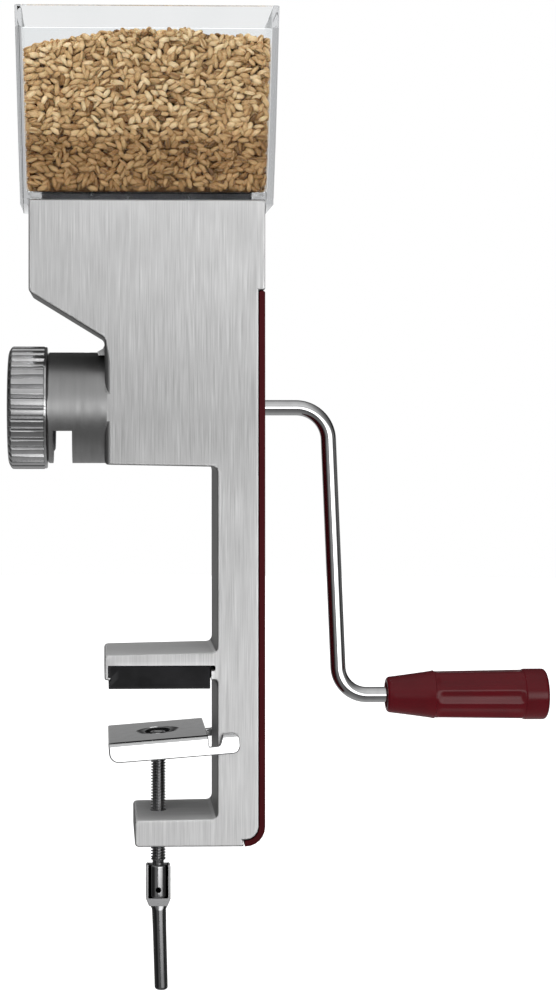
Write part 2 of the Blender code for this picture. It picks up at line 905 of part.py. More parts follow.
def build_inner_burr(finish, pin_finish, shaft, turning):
    teeth = 12
    right = -0.0280
    left = -0.0440
    count = teeth * 4
    stations = 4
    bore = SHAFT_RADIUS + GAP
    rows = []
    for station in range(stations + 1):
        share = station / stations
        x = left + (right - left) * share
        radius = 0.0174 - 0.0084 * share
        rows.append(toothed_ring(x, radius - 0.0014, radius, teeth, twist=0.6 * share))
    inner = [[(x, y, z) for y, z in circle(bore, count)] for x in (right, left)]
    burr = loft("inner_burr", [*rows, *inner], closed=True, finish=finish, parent=turning)
    add_drive_pin("burr_drive_pin", (left + right) / 2 - 0.003, 0.0125, shaft, burr, pin_finish, turning)


def build_crank(rod_finish, turning):
    route = [
        (SOCKET_END - 0.0150, 0.0, 0.0),
        (*CRANK_ELBOW, 0.017),
        (*CRANK_KNEE, 0.015),
        (GRIP_END - 0.014, -CRANK_THROW, 0.0),
    ]
    points = rounded(route, closed=False, steps=8)
    rod("crank_rod", points, ROD_RADIUS, finish=rod_finish, parent=turning)


def build_grip(finish, clip_finish, turning):
    axis = empty("grip_axis", (0.0, 0.0, -CRANK_THROW), turning)
    count = GRIP_SCALLOPS * 6
    clip_x = GRIP_END - 0.0185

    def ring(x, radius, flute=0.0):
        points = []
        for step in range(count):
            angle = 2 * math.pi * step / count
            wave = 0.5 + 0.5 * math.cos(GRIP_SCALLOPS * angle)
            reach = radius - flute * wave
            points.append((x, reach * math.sin(angle), -reach * math.cos(angle)))
        return points

    bore = ROD_RADIUS + 0.0004
    pocket = 0.0064
    loft(
        "grip",
        [
            ring(GRIP_END - 0.0120, bore),
            ring(clip_x + 0.0020, bore),
            ring(clip_x + 0.0020, pocket),
            ring(clip_x - 0.0020, pocket),
            ring(clip_x - 0.0020, bore),
            ring(GRIP_START + 0.0030, bore),
            ring(GRIP_START + 0.0030, pocket),
            ring(GRIP_START, pocket),
            ring(GRIP_START, 0.0082),
            ring(GRIP_START + 0.0010, 0.0092),
            ring(0.1415, 0.0121),
            ring(0.1432, 0.0124),
            ring(0.1448, 0.0124, 0.0006),
            ring(0.1880, 0.0130, 0.0006),
            ring(0.1895, 0.0131),
            ring(GRIP_END - 0.0022, 0.0132),
            ring(GRIP_END - 0.0006, 0.0122),
            ring(GRIP_END, 0.0095),
        ],
        finish=finish,
        parent=axis,
    )
    turned(
        "grip_circlip",
        [
            (clip_x + 0.0005, ROD_RADIUS + GAP),
            (clip_x + 0.0005, 0.0058),
            (clip_x - 0.0005, 0.0058),
            (clip_x - 0.0005, ROD_RADIUS + GAP),
        ],
        along="X",
        closed=True,
        finish=clip_finish,
        parent=axis,
    )


def build_spring(finish, axis):
    start = SOCKET_END + 0.0011
    end = BUSH_START - 0.0031
    turns = 4
    steps = 14 * turns
    route = []
    for step in range(steps + 1):
        angle = 2 * math.pi * turns * step / steps
        x = start + (end - start) * step / steps
        route.append((x, 0.0062 * math.cos(angle), 0.0062 * math.sin(angle)))
    rod("burr_spring", route, 0.0007, sides_step=2, finish=finish, parent=axis)


# Clamp


def build_clamp_screw(finish, pin_finish, turning):
    screw = turned(
        "clamp_screw",
        [
            (-0.0256, 0.0),
            (-0.0256, 0.0025),
            (SCREW_TOP, 0.0025),
            (SCREW_TOP, SCREW_RADIUS - 0.0006),
            (SCREW_TOP - 0.0006, SCREW_RADIUS),
            (SCREW_HEAD_TOP + 0.0020, SCREW_RADIUS),
            (SCREW_HEAD_TOP + 0.0014, 0.0029),
            (SCREW_HEAD_TOP, 0.0029),
            (SCREW_HEAD_TOP, SCREW_HEAD_RADIUS - 0.0006),
            (SCREW_HEAD_TOP - 0.0006, SCREW_HEAD_RADIUS),
            (SCREW_HEAD_BOTTOM + 0.0005, SCREW_HEAD_RADIUS),
            (SCREW_HEAD_BOTTOM, SCREW_HEAD_RADIUS - 0.0005),
            (SCREW_HEAD_BOTTOM, 0.0),
        ],
        finish=finish,
        parent=turning,
    )
    pin_hole = drill(
        "tommy_pin_form",
        (-0.010, 0.0, TOMMY_PIN_Z),
        (0.010, 0.0, TOMMY_PIN_Z),
        0.0015 + GAP,
        sides=16,
        parent=turning,
    )
    combine(screw, pin_hole)
    cross = drill("cross_hole_form", (0.0, -0.010, -0.1078), (0.0, 0.010, -0.1078), 0.0015, sides=16, parent=turning)
    combine(screw, cross)
    turned(
        "jaw_rivet",
        [(-0.0256, 0.0028), (-0.0256, 0.0036), (-0.0261, 0.0041), (-0.0270, 0.0041), (-0.0270, 0.0028)],
        closed=True,
        finish=finish,
        parent=turning,
    )
    pin = turned(
        "tommy_pin",
        [(0.0070, 0.0), (0.0070, 0.0015), (-0.0070, 0.0015), (-0.0070, 0.0)],
        along="X",
        steps=16,
        finish=pin_finish,
        parent=turning,
    )
    pin.location.z = TOMMY_PIN_Z
    return pin_hole


def build_tommy_handle(finish, pin_hole, turning):
    axis = empty("tommy_axis", (0.0, 0.0, TOMMY_PIN_Z), turning)
    ear = SCREW_HEAD_RADIUS + GAP
    ear_outer = ear + 0.0013
    top = -0.0932 - TOMMY_PIN_Z
    crotch = SCREW_HEAD_BOTTOM - 0.0016 - TOMMY_PIN_Z
    corners = [
        (-ear_outer, top, 0.0005),
        (-ear, top, 0.0005),
        (-ear, crotch, 0.0015),
        (ear, crotch, 0.0015),
        (ear, top, 0.0005),
        (ear_outer, top, 0.0005),
        (ear_outer, crotch + 0.0010, 0.0020),
        (0.0034, crotch - 0.0052, 0.0010),
        (-0.0034, crotch - 0.0052, 0.0010),
        (-ear_outer, crotch + 0.0010, 0.0020),
    ]
    handle = plate("tommy_handle", [rounded(corners)], 0.0085, finish=finish, parent=axis)
    bar = turned(
        "tommy_bar_form",
        [
            (crotch - 0.0030, 0.0),
            (crotch - 0.0030, 0.0033),
            (TOMMY_TIP - TOMMY_PIN_Z + 0.0012, 0.0035),
            (TOMMY_TIP - TOMMY_PIN_Z + 0.0003, 0.0028),
            (TOMMY_TIP - TOMMY_PIN_Z, 0.0015),
            (TOMMY_TIP - TOMMY_PIN_Z, 0.0),
        ],
        steps=20,
        parent=axis,
        group=cutters,
    )
    bar.rotation_euler.y = -TOMMY_LEAN
    combine(handle, bar, "UNION")
    combine(handle, pin_hole)


def build_jaw(finish, washer_finish, carrier):
    turned(
        "swivel_washer",
        [
            (-0.0308, 0.0028),
            (-0.0308, 0.0048),
            (-0.0314, 0.0055),
            (SCREW_TOP + GAP, 0.0055),
            (SCREW_TOP + GAP, 0.0028),
        ],
        closed=True,
        finish=washer_finish,
        parent=carrier,
    )
    pivot = -0.0287
    tilting = empty("jaw_axis", (0.0, 0.0, pivot), carrier)
    tilting.rotation_euler.y = -JAW_TILT
    top = JAW_Z - pivot
    length = JAW_HOOK - JAW_LEFT + 0.004
    inner = JAW_HALF_DEPTH - JAW_SHEET
    deep = top - JAW_LIP - 0.001
    section = [
        (-JAW_HALF_DEPTH, deep, 0.0),
        (-JAW_HALF_DEPTH, top, 0.0024),
        (JAW_HALF_DEPTH, top, 0.0024),
        (JAW_HALF_DEPTH, deep, 0.0),
        (inner, deep, 0.0),
        (inner, top - JAW_SHEET, 0.0006),
        (-inner, top - JAW_SHEET, 0.0006),
        (-inner, deep, 0.0),
    ]
    jaw = plate("jaw_plate", [rounded(section)], length, finish=finish, parent=tilting)
    jaw.rotation_euler.z = math.radians(90)
    jaw.location.x = (JAW_LEFT + JAW_HOOK) / 2
    side = [
        (JAW_LEFT, top + 0.002, 0.0),
        (JAW_LEFT, top - JAW_LIP, 0.005),
        (JAW_HOOK, top - JAW_LIP, 0.0035),
        (JAW_HOOK, top - 0.0001, 0.0012),
        (JAW_HOOK - 0.0095, top - 0.0001, 0.0005),
        (JAW_HOOK - 0.0095, top - 0.0056, 0.0014),
        (JAW_RIGHT, top - 0.0056, 0.0005),
        (JAW_RIGHT, top + 0.002, 0.0),
    ]
    mask = plate("jaw_side_form", [rounded(side)], 0.080, group=cutters, parent=tilting)
    combine(jaw, mask, "INTERSECT")
    between = box_cutter(
        "jaw_gap_form",
        (JAW_RIGHT + 0.0001, -inner, top - 0.020),
        (JAW_HOOK + 0.006, inner, top + 0.004),
        parent=tilting,
    )
    combine(jaw, between)
    dish = turned(
        "jaw_dish_form",
        [
            (top - 0.0010, 0.0),
            (top - 0.0010, 0.0092),
            (top - JAW_SHEET, 0.0092),
            (top - 0.0046, 0.0066),
            (top - 0.0046, 0.0),
        ],
        parent=tilting,
        group=cutters,
    )
    combine(jaw, dish, "UNION")
    hollow = turned(
        "jaw_hollow_form",
        [
            (top + 0.0010, 0.0),
            (top + 0.0010, 0.0092),
            (top, 0.0084),
            (top - 0.0028, 0.0056),
            (top - 0.0028, 0.0),
        ],
        parent=tilting,
        group=cutters,
    )
    combine(jaw, hollow)
    hole = drill("jaw_hole_form", (0.0, 0.0, top - 0.008), (0.0, 0.0, top), 0.0033, parent=tilting)
    combine(jaw, hole)


def build_mill():
    aluminium = material("cast_aluminium", (0.55, 0.55, 0.56), 0.38, metallic=1.0)
    ring_grey = material("ring_aluminium", (0.42, 0.42, 0.43), 0.40, metallic=1.0)
    chrome = material("chrome", (0.75, 0.75, 0.76), 0.12, metallic=1.0)
    steel = material("steel", (0.45, 0.45, 0.46), 0.32, metallic=1.0)
    burr_steel = material("burr_steel", (0.30, 0.30, 0.31), 0.45, metallic=1.0)
    bronze = material("bronze", (0.45, 0.28, 0.12), 0.35, metallic=1.0)
    red_plastic = material("dark_red_plastic", (0.115, 0.008, 0.012), 0.30)
    rubber = material("black_rubber", (0.022, 0.022, 0.023), 0.75)
    clear = material("clear_plastic", (0.95, 0.96, 0.97), 0.05, transmission=1.0)

    build_housing(aluminium)
    build_rear_cover(aluminium, steel)
    build_side_trim(red_plastic)
    build_clamp_pad(rubber)

    axis = empty("mill_axis", (0.0, 0.0, AXIS_Z))
    build_outer_burr(burr_steel, steel, axis)
    build_end_plate(steel, axis)
    build_right_bush(bronze, axis)
    build_spring(steel, axis)
    build_hopper(clear)

    carrier = build_adjuster(ring_grey, steel, steel, axis)
    turning = empty("crank_axis", (0.0, 0.0, 0.0), carrier)
    shaft = build_shaft(steel, steel, turning)
    build_feed_screw(steel, steel, shaft, turning)
    build_inner_burr(burr_steel, steel, shaft, turning)
    build_crank(chrome, turning)
    build_grip(red_plastic, steel, turning)

    jaw_carrier = empty("jaw_travel_axis", (0.0, 0.0, 0.0))
    screw_axis = empty("clamp_screw_axis", (0.0, 0.0, 0.0), jaw_carrier)
    pin_hole = build_clamp_screw(steel, steel, screw_axis)
    build_tommy_handle(steel, pin_hole, screw_axis)
    build_jaw(chrome, steel, jaw_carrier)


clear_scene()
parts = new_collection("grain_mill")
cutters = new_collection("grain_mill_cutters")
build_mill()
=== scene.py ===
"""Looks of the grain mill: brushed cast body, chromed clamp and crank, clear hopper full of wheat."""

import json
import math

import bmesh
import bpy
import numpy as np
from mathutils import Matrix, Vector, noise

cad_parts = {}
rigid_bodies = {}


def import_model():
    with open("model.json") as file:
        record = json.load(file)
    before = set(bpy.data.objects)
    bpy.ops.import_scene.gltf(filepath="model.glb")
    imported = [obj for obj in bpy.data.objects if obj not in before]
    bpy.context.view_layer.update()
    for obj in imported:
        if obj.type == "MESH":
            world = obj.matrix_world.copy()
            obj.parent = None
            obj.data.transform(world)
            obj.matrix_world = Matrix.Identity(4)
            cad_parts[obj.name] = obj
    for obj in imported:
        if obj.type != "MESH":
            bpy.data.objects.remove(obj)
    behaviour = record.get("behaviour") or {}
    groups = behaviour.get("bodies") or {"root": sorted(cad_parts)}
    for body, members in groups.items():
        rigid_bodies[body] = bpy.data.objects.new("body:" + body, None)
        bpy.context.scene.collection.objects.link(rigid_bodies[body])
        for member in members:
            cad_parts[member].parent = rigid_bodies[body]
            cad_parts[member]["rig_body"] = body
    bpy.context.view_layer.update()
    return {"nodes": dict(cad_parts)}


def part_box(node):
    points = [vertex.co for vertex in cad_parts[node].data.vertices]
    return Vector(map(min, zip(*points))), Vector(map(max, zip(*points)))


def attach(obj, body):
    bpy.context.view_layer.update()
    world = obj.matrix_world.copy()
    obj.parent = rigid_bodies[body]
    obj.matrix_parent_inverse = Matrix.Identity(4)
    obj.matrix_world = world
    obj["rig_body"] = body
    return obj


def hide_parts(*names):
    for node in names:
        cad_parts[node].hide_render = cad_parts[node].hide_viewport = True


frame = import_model()

MM = 0.001
SEED = 41

# Where the main parts lie, read from the frame
HOUSING_LOW, HOUSING_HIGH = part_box("housing")
HOPPER_LOW, HOPPER_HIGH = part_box("hopper")
RING_LOW, RING_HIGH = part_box("adjuster_ring")
GRIP_LOW, GRIP_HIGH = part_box("grip")
SCREW_LOW, SCREW_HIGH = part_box("clamp_screw")
AXIS_Z = (RING_LOW.z + RING_HIGH.z) / 2
GRIP_Z = (GRIP_LOW.z + GRIP_HIGH.z) / 2
BACK = HOUSING_HIGH.y
HOUSING_TOP_LEFT = -66.4 * MM
HOUSING_TOP_RIGHT = HOUSING_HIGH.x

# Painted reflection: how the brushed faces darken towards the barrel's height, from the foot up to the hopper,
# standing in for what the metal reflects
HEIGHT_SPAN = HOUSING_HIGH.z - HOUSING_LOW.z
PAINTED_REFLECTION_HEIGHTS = [
    (0.0, 1.0), (0.05, 1.0), (0.15, 0.95), (0.34, 0.84), (0.52, 0.77), (0.66, 0.63), (0.84, 0.77), (1.0, 0.86)
]

# Camera: its place, the length of its lens, and how far the frame is shifted from the lens's axis
CAMERA_PLACE = (-30.2 * MM, -1065 * MM, 140.4 * MM)
CAMERA_LENS = 74.17
CAMERA_SHIFT = (0.120, -0.0855)
CAMERA_YAW = math.radians(1.64)

# Floor
FLOOR_Z = -0.200
FLOOR_GLOW = [(0.0, 0.55), (0.45, 0.75), (1.0, 1.0)]

# What reflections see, by the angle in degrees over the top: -180 and 180 are behind, 0 is in front, 90 is up
STUDIO_ROUND = [
    (-180, 0.45), (-133, 0.34), (-95, 0.32), (-62, 0.18), (-40, 0.15), (-25, 0.08), (-14, 0.12), (14, 0.45),
    (40, 0.70), (70, 0.55), (95, 0.50), (128, 0.18), (150, 0.05), (164, 0.07), (176, 0.40), (180, 0.45),
]
# and how much of it is left the further a direction points to a side
STUDIO_SIDE = [(0.0, 1.0), (0.30, 0.95), (0.70, 0.30), (0.95, 0.16), (1.0, 0.40)]
# Soft panels in front, on the right: (azimuths, elevations, soft edge on each side, strength)
STUDIO_PANELS = [
    ((-1, 50), (-12, 12), (4, 16, 4, 8), 2.4),
    ((-40, -20), (-30, 40), (10, 10, 10, 10), 0.12),
]
# How strongly long paths through the clear plastic darken, per metre
CLEAR_DENSITY = 20.0
# What is seen through the clear hopper, from down to up
STUDIO_THROUGH = [(0.0, 0.15), (0.44, 0.55), (0.50, 0.90), (0.62, 0.90), (0.80, 1.3), (1.0, 2.0)]

# Bran colours, from the dark germ end and the painted shade in the gaps between and behind kernels to the palest
# husk
WHEAT_TONES = [
    (0.00, (0.075, 0.034, 0.011)),
    (0.25, (0.260, 0.135, 0.046)),
    (0.60, (0.530, 0.340, 0.158)),
    (1.00, (0.820, 0.640, 0.390)),
]

# The neck's left edge is rounded this much, but not where the barrel meets it
NECK_LEFT = -27.9 * MM
NECK_ROUND = 3.0 * MM
NECK_TOP = 178.0 * MM
BARREL_RADIUS = 28.75 * MM


# Node helpers


class Nodes:
    """Short ways to add shader nodes to one material."""

    def __init__(self, name=None, tree=None):
        if tree is None:
            self.material = bpy.data.materials.new(name)
            self.material.use_nodes = True
            tree = self.material.node_tree
            self.shader = tree.nodes["Principled BSDF"]
        self.tree = tree
        self.coordinates = tree.nodes.new("ShaderNodeTexCoord").outputs["Object"]

    def new(self, kind, **inputs):
        """A new node, with its input sockets of these names linked or set."""
        made = self.tree.nodes.new("ShaderNode" + kind)
        for name, value in inputs.items():
            self.connect(value, made.inputs[name.replace("_", " ")])
        return made

    def link(self, source, target):
        self.tree.links.new(source, target)

    def connect(self, value, target):
        """Links a socket, or sets a number, a vector or a colour."""
        if isinstance(value, bpy.types.NodeSocket):
            self.link(value, target)
        elif hasattr(value, "__len__") and len(value) < len(target.default_value):
            target.default_value = (*value, 1.0)
        else:
            target.default_value = value

    def feed(self, **sources):
        """Links or sets the shader's sockets of these names."""
        for name, source in sources.items():
            self.connect(source, self.shader.inputs[name.replace("_", " ")])

    def stretch(self, scale):
        return self.new("Mapping", Vector=self.coordinates, Scale=scale).outputs["Vector"]

    def noise(self, vector, scale, detail=2.0, rough=0.5):
        place = vector or self.coordinates
        return self.new("TexNoise", Vector=place, Scale=scale, Detail=detail, Roughness=rough).outputs["Fac"]

    def ramp(self, value, stops):
        made = self.new("ValToRGB", Fac=value)
        elements = made.color_ramp.elements
        while len(elements) < len(stops):
            elements.new(0.5)
        for element, (place, colour) in zip(elements, stops):
            element.position = place
            element.color = (*colour, 1.0) if hasattr(colour, "__len__") else (colour, colour, colour, 1.0)
        return made.outputs["Color"]

    def mix(self, share, first, second, blend="MIX"):
        made = self.tree.nodes.new("ShaderNodeMix")
        made.data_type = "RGBA"
        made.blend_type = blend
        for value, socket in ((share, "Factor"), (first, 6), (second, 7)):
            self.connect(value, made.inputs[socket])
        return made.outputs[2]

    def math(self, operation, *values):
        made = self.tree.nodes.new("ShaderNodeMath")
        made.operation = operation
        for value, socket in zip(values, made.inputs):
            self.connect(value, socket)
        return made.outputs[0]

    def split(self, vector):
        return self.new("SeparateXYZ", Vector=vector).outputs

    def window(self, angle, limits, soft):
        """1 between two angles in degrees, 0 outside, with a soft edge of the given width at each."""
        edges = []
        for limit, width, sign in zip(limits, soft, (1, -1)):
            low = math.radians(limit - sign * width)
            high = math.radians(limit + sign * width)
            made = self.new("MapRange", Value=angle, From_Min=low, From_Max=high)
            made.interpolation_type = "SMOOTHSTEP"
            edges.append(made.outputs["Result"])
        return self.math("MULTIPLY", *edges)

    def edges(self, low=0.52, high=0.60):
        """1 on worn convex edges, 0 elsewhere."""
        return self.ramp(self.new("NewGeometry").outputs["Pointiness"], [(low, 0.0), (high, 1.0)])

    def bump(self, height, strength, distance):
        made = self.new("Bump", Strength=strength, Distance=distance, Height=height)
        self.feed(Normal=made.outputs["Normal"])


# Materials


def brushed_metal(name, dark, light, roughness, streaks, metallic=1.0, heights=None):
    """Metal with fine brush lines; streaks is how fast the grain changes along X, Y and Z; heights, if given, is
    painted reflection that darkens it by height.
    """
    nodes = Nodes(name)
    grain = nodes.noise(nodes.stretch(streaks), 1.0, detail=3.0, rough=0.6)
    tone = nodes.ramp(grain, [(0.30, (dark,) * 3), (0.70, (light,) * 3)])
    soft = nodes.ramp(nodes.noise(None, 38.0), [(0.30, 0.92), (0.70, 1.0)])
    colour = nodes.mix(1.0, tone, soft, "MULTIPLY")
    # Painted reflection: the colour darkens by height along the body, standing in for what the metal reflects
    if heights:
        z = nodes.split(nodes.coordinates)[2]
        share = nodes.math("MULTIPLY_ADD", z, 1 / HEIGHT_SPAN, -HOUSING_LOW.z / HEIGHT_SPAN)
        colour = nodes.mix(1.0, colour, nodes.ramp(share, heights), "MULTIPLY")
    worn = nodes.mix(nodes.edges(), colour, (min(1.0, light * 1.12),) * 3)
    rough = nodes.ramp(grain, [(0.30, roughness + 0.12), (0.70, roughness)])
    nodes.feed(Base_Color=worn, Roughness=rough, Metallic=metallic)
    nodes.bump(grain, 0.25, 0.02 * MM)
    return nodes.material


def mottled(name, sizes, details, tones, worn, roughness, bump, wear=(), stops=((0.30, 0.70), (0.30, 0.70))):
    """Two tones by a wide noise, paler where edges are worn, with a fine bump; stops are for tone and roughness."""
    nodes = Nodes(name)
    wide, fine = [nodes.noise(None, size, detail=detail) for size, detail in zip(sizes, details)]
    tone = nodes.mix(nodes.edges(*wear), nodes.ramp(wide, list(zip(stops[0], tones))), worn)
    rough = nodes.ramp(wide, list(zip(stops[1], roughness)))
    nodes.feed(Base_Color=tone, Roughness=rough)
    nodes.bump(fine, *bump)
    return nodes


def plain_metal(name, colour, roughness, scuff=0.06, size=220.0):
    """Machined or plated metal with faint scuffs."""
    dark = tuple(part * 0.86 for part in colour)
    worn = tuple(min(1.0, part * 1.15) for part in colour)
    rough = (roughness + scuff, roughness)
    bump = (0.10, 0.01 * MM)
    stops = ((0.30, 0.72), (0.25, 0.75))
    nodes = mottled(name, (size, size * 9), (3.0, 2.0), (dark, colour), worn, rough, bump, stops=stops)
    nodes.feed(Metallic=1.0)
    return nodes.material


def moulded_plastic(name, colour, roughness, shine):
    dark = tuple(part * 0.84 for part in colour)
    worn = tuple(part * 1.5 for part in colour)
    rough = (roughness + 0.08, roughness)
    bump = (0.12, 0.01 * MM)
    nodes = mottled(name, (60.0, 1900.0), (2.0, 2.0), (dark, colour), worn, rough, bump, (0.53, 0.64))
    nodes.feed(Specular_IOR_Level=shine)
    return nodes.material


def rubber_material(name):
    tones = ((0.008, 0.008, 0.0085), (0.015, 0.015, 0.016))
    worn = (0.022, 0.022, 0.023)
    nodes = mottled(name, (90.0, 2600.0), (3.0, 3.0), tones, worn, (0.62, 0.80), (0.35, 0.05 * MM))
    nodes.feed(Specular_IOR_Level=0.08)
    return nodes.material


def clear_material(name):
    """Clear moulded styrene, with faint scratches."""
    nodes = Nodes(name)
    scratch = nodes.noise(nodes.stretch((900.0, 900.0, 60.0)), 1.0, detail=2.0)
    rough = nodes.ramp(scratch, [(0.45, 0.02), (0.80, 0.07)])
    tint = nodes.ramp(nodes.noise(None, 30.0), [(0.3, (0.93, 0.945, 0.95)), (0.7, (0.97, 0.98, 0.985))])
    nodes.feed(Base_Color=tint, Roughness=rough)
    nodes.feed(Transmission_Weight=1.0, IOR=1.09, Specular_IOR_Level=0.5)
    absorption = nodes.new("VolumeAbsorption", Color=(0.50, 0.50, 0.51), Density=CLEAR_DENSITY)
    output = nodes.tree.nodes["Material Output"]
    nodes.link(absorption.outputs["Volume"], output.inputs["Volume"])
    return nodes.material


def wheat_material(name):
    """Tan bran, lighter or darker from kernel to kernel by the colour stored on each one, which also holds painted
    shade and painted light.
    """
    nodes = Nodes(name)
    stored = nodes.new("Attribute")
    stored.attribute_name = "kernel"
    husk = nodes.ramp(stored.outputs["Fac"], WHEAT_TONES)
    mottle = nodes.ramp(nodes.noise(None, 900.0, detail=3.0), [(0.30, 0.78), (0.70, 1.0)])
    rough = nodes.ramp(nodes.noise(None, 500.0), [(0.3, 0.42), (0.7, 0.58)])
    nodes.feed(Base_Color=nodes.mix(1.0, husk, mottle, "MULTIPLY"), Roughness=rough)
    nodes.bump(nodes.noise(None, 2400.0, detail=2.0), 0.30, 0.06 * MM)
    nodes.feed(Subsurface_Weight=0.08, Subsurface_Scale=0.4 * MM, Specular_IOR_Level=0.22)
    return nodes.material


def make_materials():
    return {
        # Painted reflection: the brushed face darkens by height
        "face": brushed_metal("brushed_face_painted_reflection", 0.72, 0.90, 0.40, (2600.0, 40.0, 36.0), 1.0, PAINTED_REFLECTION_HEIGHTS),
        "side": brushed_metal("sawn_side", 0.34, 0.44, 0.46, (60.0, 2200.0, 60.0)),
        # Painted light: a paler, less metallic copy of the sawn side for the arms' upward faces, lit as if from
        # above
        "lit_top": brushed_metal("sawn_lit_top", 0.56, 0.70, 0.50, (30.0, 2200.0, 60.0), metallic=0.25),
        "barrel": brushed_metal("turned_barrel", 0.44, 0.47, 0.36, (300.0, 30.0, 30.0)),
        "bore": plain_metal("bored_metal", (0.30,) * 3, 0.42),
        "ring": plain_metal("ring_metal", (0.66, 0.66, 0.665), 0.20, size=150.0),
        "chrome": plain_metal("chrome_plate", (0.86, 0.865, 0.87), 0.055, scuff=0.04),
        "dull": plain_metal("dull_nickel", (0.40, 0.40, 0.405), 0.15, scuff=0.08),
        "screw": plain_metal("dark_nickel", (0.52, 0.52, 0.525), 0.12, scuff=0.08),
        "steel": plain_metal("zinc_steel", (0.60, 0.60, 0.605), 0.20, scuff=0.10),
        "burr": plain_metal("burr_steel", (0.32, 0.32, 0.33), 0.42),
        "bronze": plain_metal("bronze", (0.50, 0.33, 0.16), 0.36),
        "red": moulded_plastic("dark_red", (0.070, 0.0024, 0.0052), 0.17, 0.26),
        "rim": plain_metal("inlet_rim", (0.48, 0.48, 0.50), 0.22),
        "trim": moulded_plastic("trim_red", (0.042, 0.0020, 0.0036), 0.34, 0.06),
        "rubber": rubber_material("black_rubber"),
        "clear": clear_material("clear_styrene"),
        "wheat": wheat_material("wheat_bran"),
    }


# Mesh helpers


def new_object(name, data):
    obj = bpy.data.objects.new(name, data)
    bpy.context.scene.collection.objects.link(obj)
    return obj


def mesh_object(name, points, faces, look):
    mesh = bpy.data.meshes.new(name)
    mesh.from_pydata([tuple(point) for point in points], [], [tuple(face) for face in faces])
    mesh.materials.append(look)
    mesh.update()
    return new_object(name, mesh)


def soften(obj, angle=35.0):
    """Smooth shading, with edges sharper than the angle kept and flat faces left flat."""
    obj.data.shade_smooth()
    obj.data.set_sharp_from_angle(angle=math.radians(angle))
    weighted = obj.modifiers.new("weighted_normal", "WEIGHTED_NORMAL")
    weighted.keep_sharp = True
    weighted.mode = "FACE_AREA_WITH_ANGLE"


def chamfer(obj, width, segments=3, angle=30.0, clamp=True):
    rounding = obj.modifiers.new("rounding", "BEVEL")
    rounding.width = width
    rounding.segments = segments
    rounding.limit_method = "ANGLE"
    rounding.angle_limit = math.radians(angle)
    rounding.use_clamp_overlap = clamp


def apply_modifiers(obj):
    graph = bpy.context.evaluated_depsgraph_get()
    mesh = bpy.data.meshes.new_from_object(obj.evaluated_get(graph))
    obj.modifiers.clear()
    obj.data = mesh


def boolean(obj, others, operation):
    """Combines obj with the other solids, then removes them."""
    for other in others:
        made = obj.modifiers.new("boolean", "BOOLEAN")
        made.operation = operation
        made.solver = "EXACT"
        made.object = other
    apply_modifiers(obj)
    for other in others:
        bpy.data.objects.remove(other)


def cut(obj, cutters):
    boolean(obj, cutters, "DIFFERENCE")


def join(obj, others):
    boolean(obj, others, "UNION")


def keep_within(obj, other):
    """Keeps only what lies inside the other solid."""
    boolean(obj, [other], "INTERSECT")


def loft(name, rings, look, closed=False):
    """Skin over rings with the same number of points; closed joins the last ring to the first."""
    count = len(rings[0])
    points = [point for ring in rings for point in ring]
    faces = []
    for lower in range(len(rings) if closed else len(rings) - 1):
        low = lower * count
        high = (lower + 1) % len(rings) * count
        for step in range(count):
            following = (step + 1) % count
            faces.append((low + step, low + following, high + following, high + step))
    if not closed:
        faces.append(tuple(reversed(range(count))))
        faces.append(tuple(range(len(points) - count, len(points))))
    obj = mesh_object(name, points, faces, look)
    cage = bmesh.new()
    cage.from_mesh(obj.data)
    bmesh.ops.recalc_face_normals(cage, faces=cage.faces)
    cage.to_mesh(obj.data)
    cage.free()
    return obj


def in_mm(rows, start=0.0, base=0.0):
    """Rows of (place, radius, ...) given in mm: places count from start, radii from base."""
    return [(start + place * MM, base + radius * MM, *rest) for place, radius, *rest in rows]


def ring_about(axis, place, radius, count, centre=(0.0, 0.0), shape=None):
    """Ring of points at one place along axis X, Y or Z; shape(angle) scales the radius."""
    points = []
    for step in range(count):
        angle = 2 * math.pi * step / count
        reach = radius * (shape(angle) if shape else 1.0)
        point = [centre[0] + reach * math.cos(angle), centre[1] + reach * math.sin(angle)]
        point.insert("XYZ".index(axis), place)
        points.append(tuple(point))
    return points


def rings_about(axis, rows, count, centre=(0.0, 0.0), shaped=None):
    """Rings from rows of (place, radius) or (place, radius, share); shaped(share) is the ring's shape."""
    rings = []
    for place, radius, *share in rows:
        shape = shaped(*share) if share else None
        rings.append(ring_about(axis, place, radius, count, centre, shape))
    return rings


def turned(name, axis, profile, centre, look, count=64, closed=False):
    """Lathe form from a profile of (place along the axis, radius)."""
    rings = [ring_about(axis, place, max(radius, 0.00001), count, centre) for place, radius in profile]
    return loft(name, rings, look, closed=closed)


def rounded_path(corners, steps=10):
    """Points of a path through (x, z, radius) corners, with an arc at each inner one."""
    path = [Vector(corners[0][:2])]
    for before, corner, after in zip(corners, corners[1:], corners[2:]):
        here = Vector(corner[:2])
        if not corner[2]:
            path.append(here)
            continue
        back = (Vector(before[:2]) - here).normalized()
        ahead = (Vector(after[:2]) - here).normalized()
        half = back.angle(ahead) / 2
        reach = corner[2] / math.tan(half)
        middle = here + (back + ahead).normalized() * (corner[2] / math.sin(half))
        start = here + back * reach - middle
        sweep = math.pi - 2 * half
        turn = 1.0 if back.x * ahead.y - back.y * ahead.x < 0 else -1.0
        for step in range(steps + 1):
            angle = turn * sweep * step / steps
            cosine, sine = math.cos(angle), math.sin(angle)
            turned_start = (start.x * cosine - start.y * sine, start.x * sine + start.y * cosine)
            path.append(middle + Vector(turned_start))
    path.append(Vector(corners[-1][:2]))
    return path


def rounded_rectangle(x_low, x_high, y_low, y_high, radius, z, steps=6):
    points = []
    ends = [(x_high - radius, y_high - radius), (x_low + radius, y_high - radius)]
    ends += [(x_low + radius, y_low + radius), (x_high - radius, y_low + radius)]
    for corner, (x, y) in enumerate(ends):
        for step in range(steps + 1):
            angle = math.radians(90.0 * corner + 90.0 * step / steps)
            points.append((x + radius * math.cos(angle), y + radius * math.sin(angle), z))
    return points


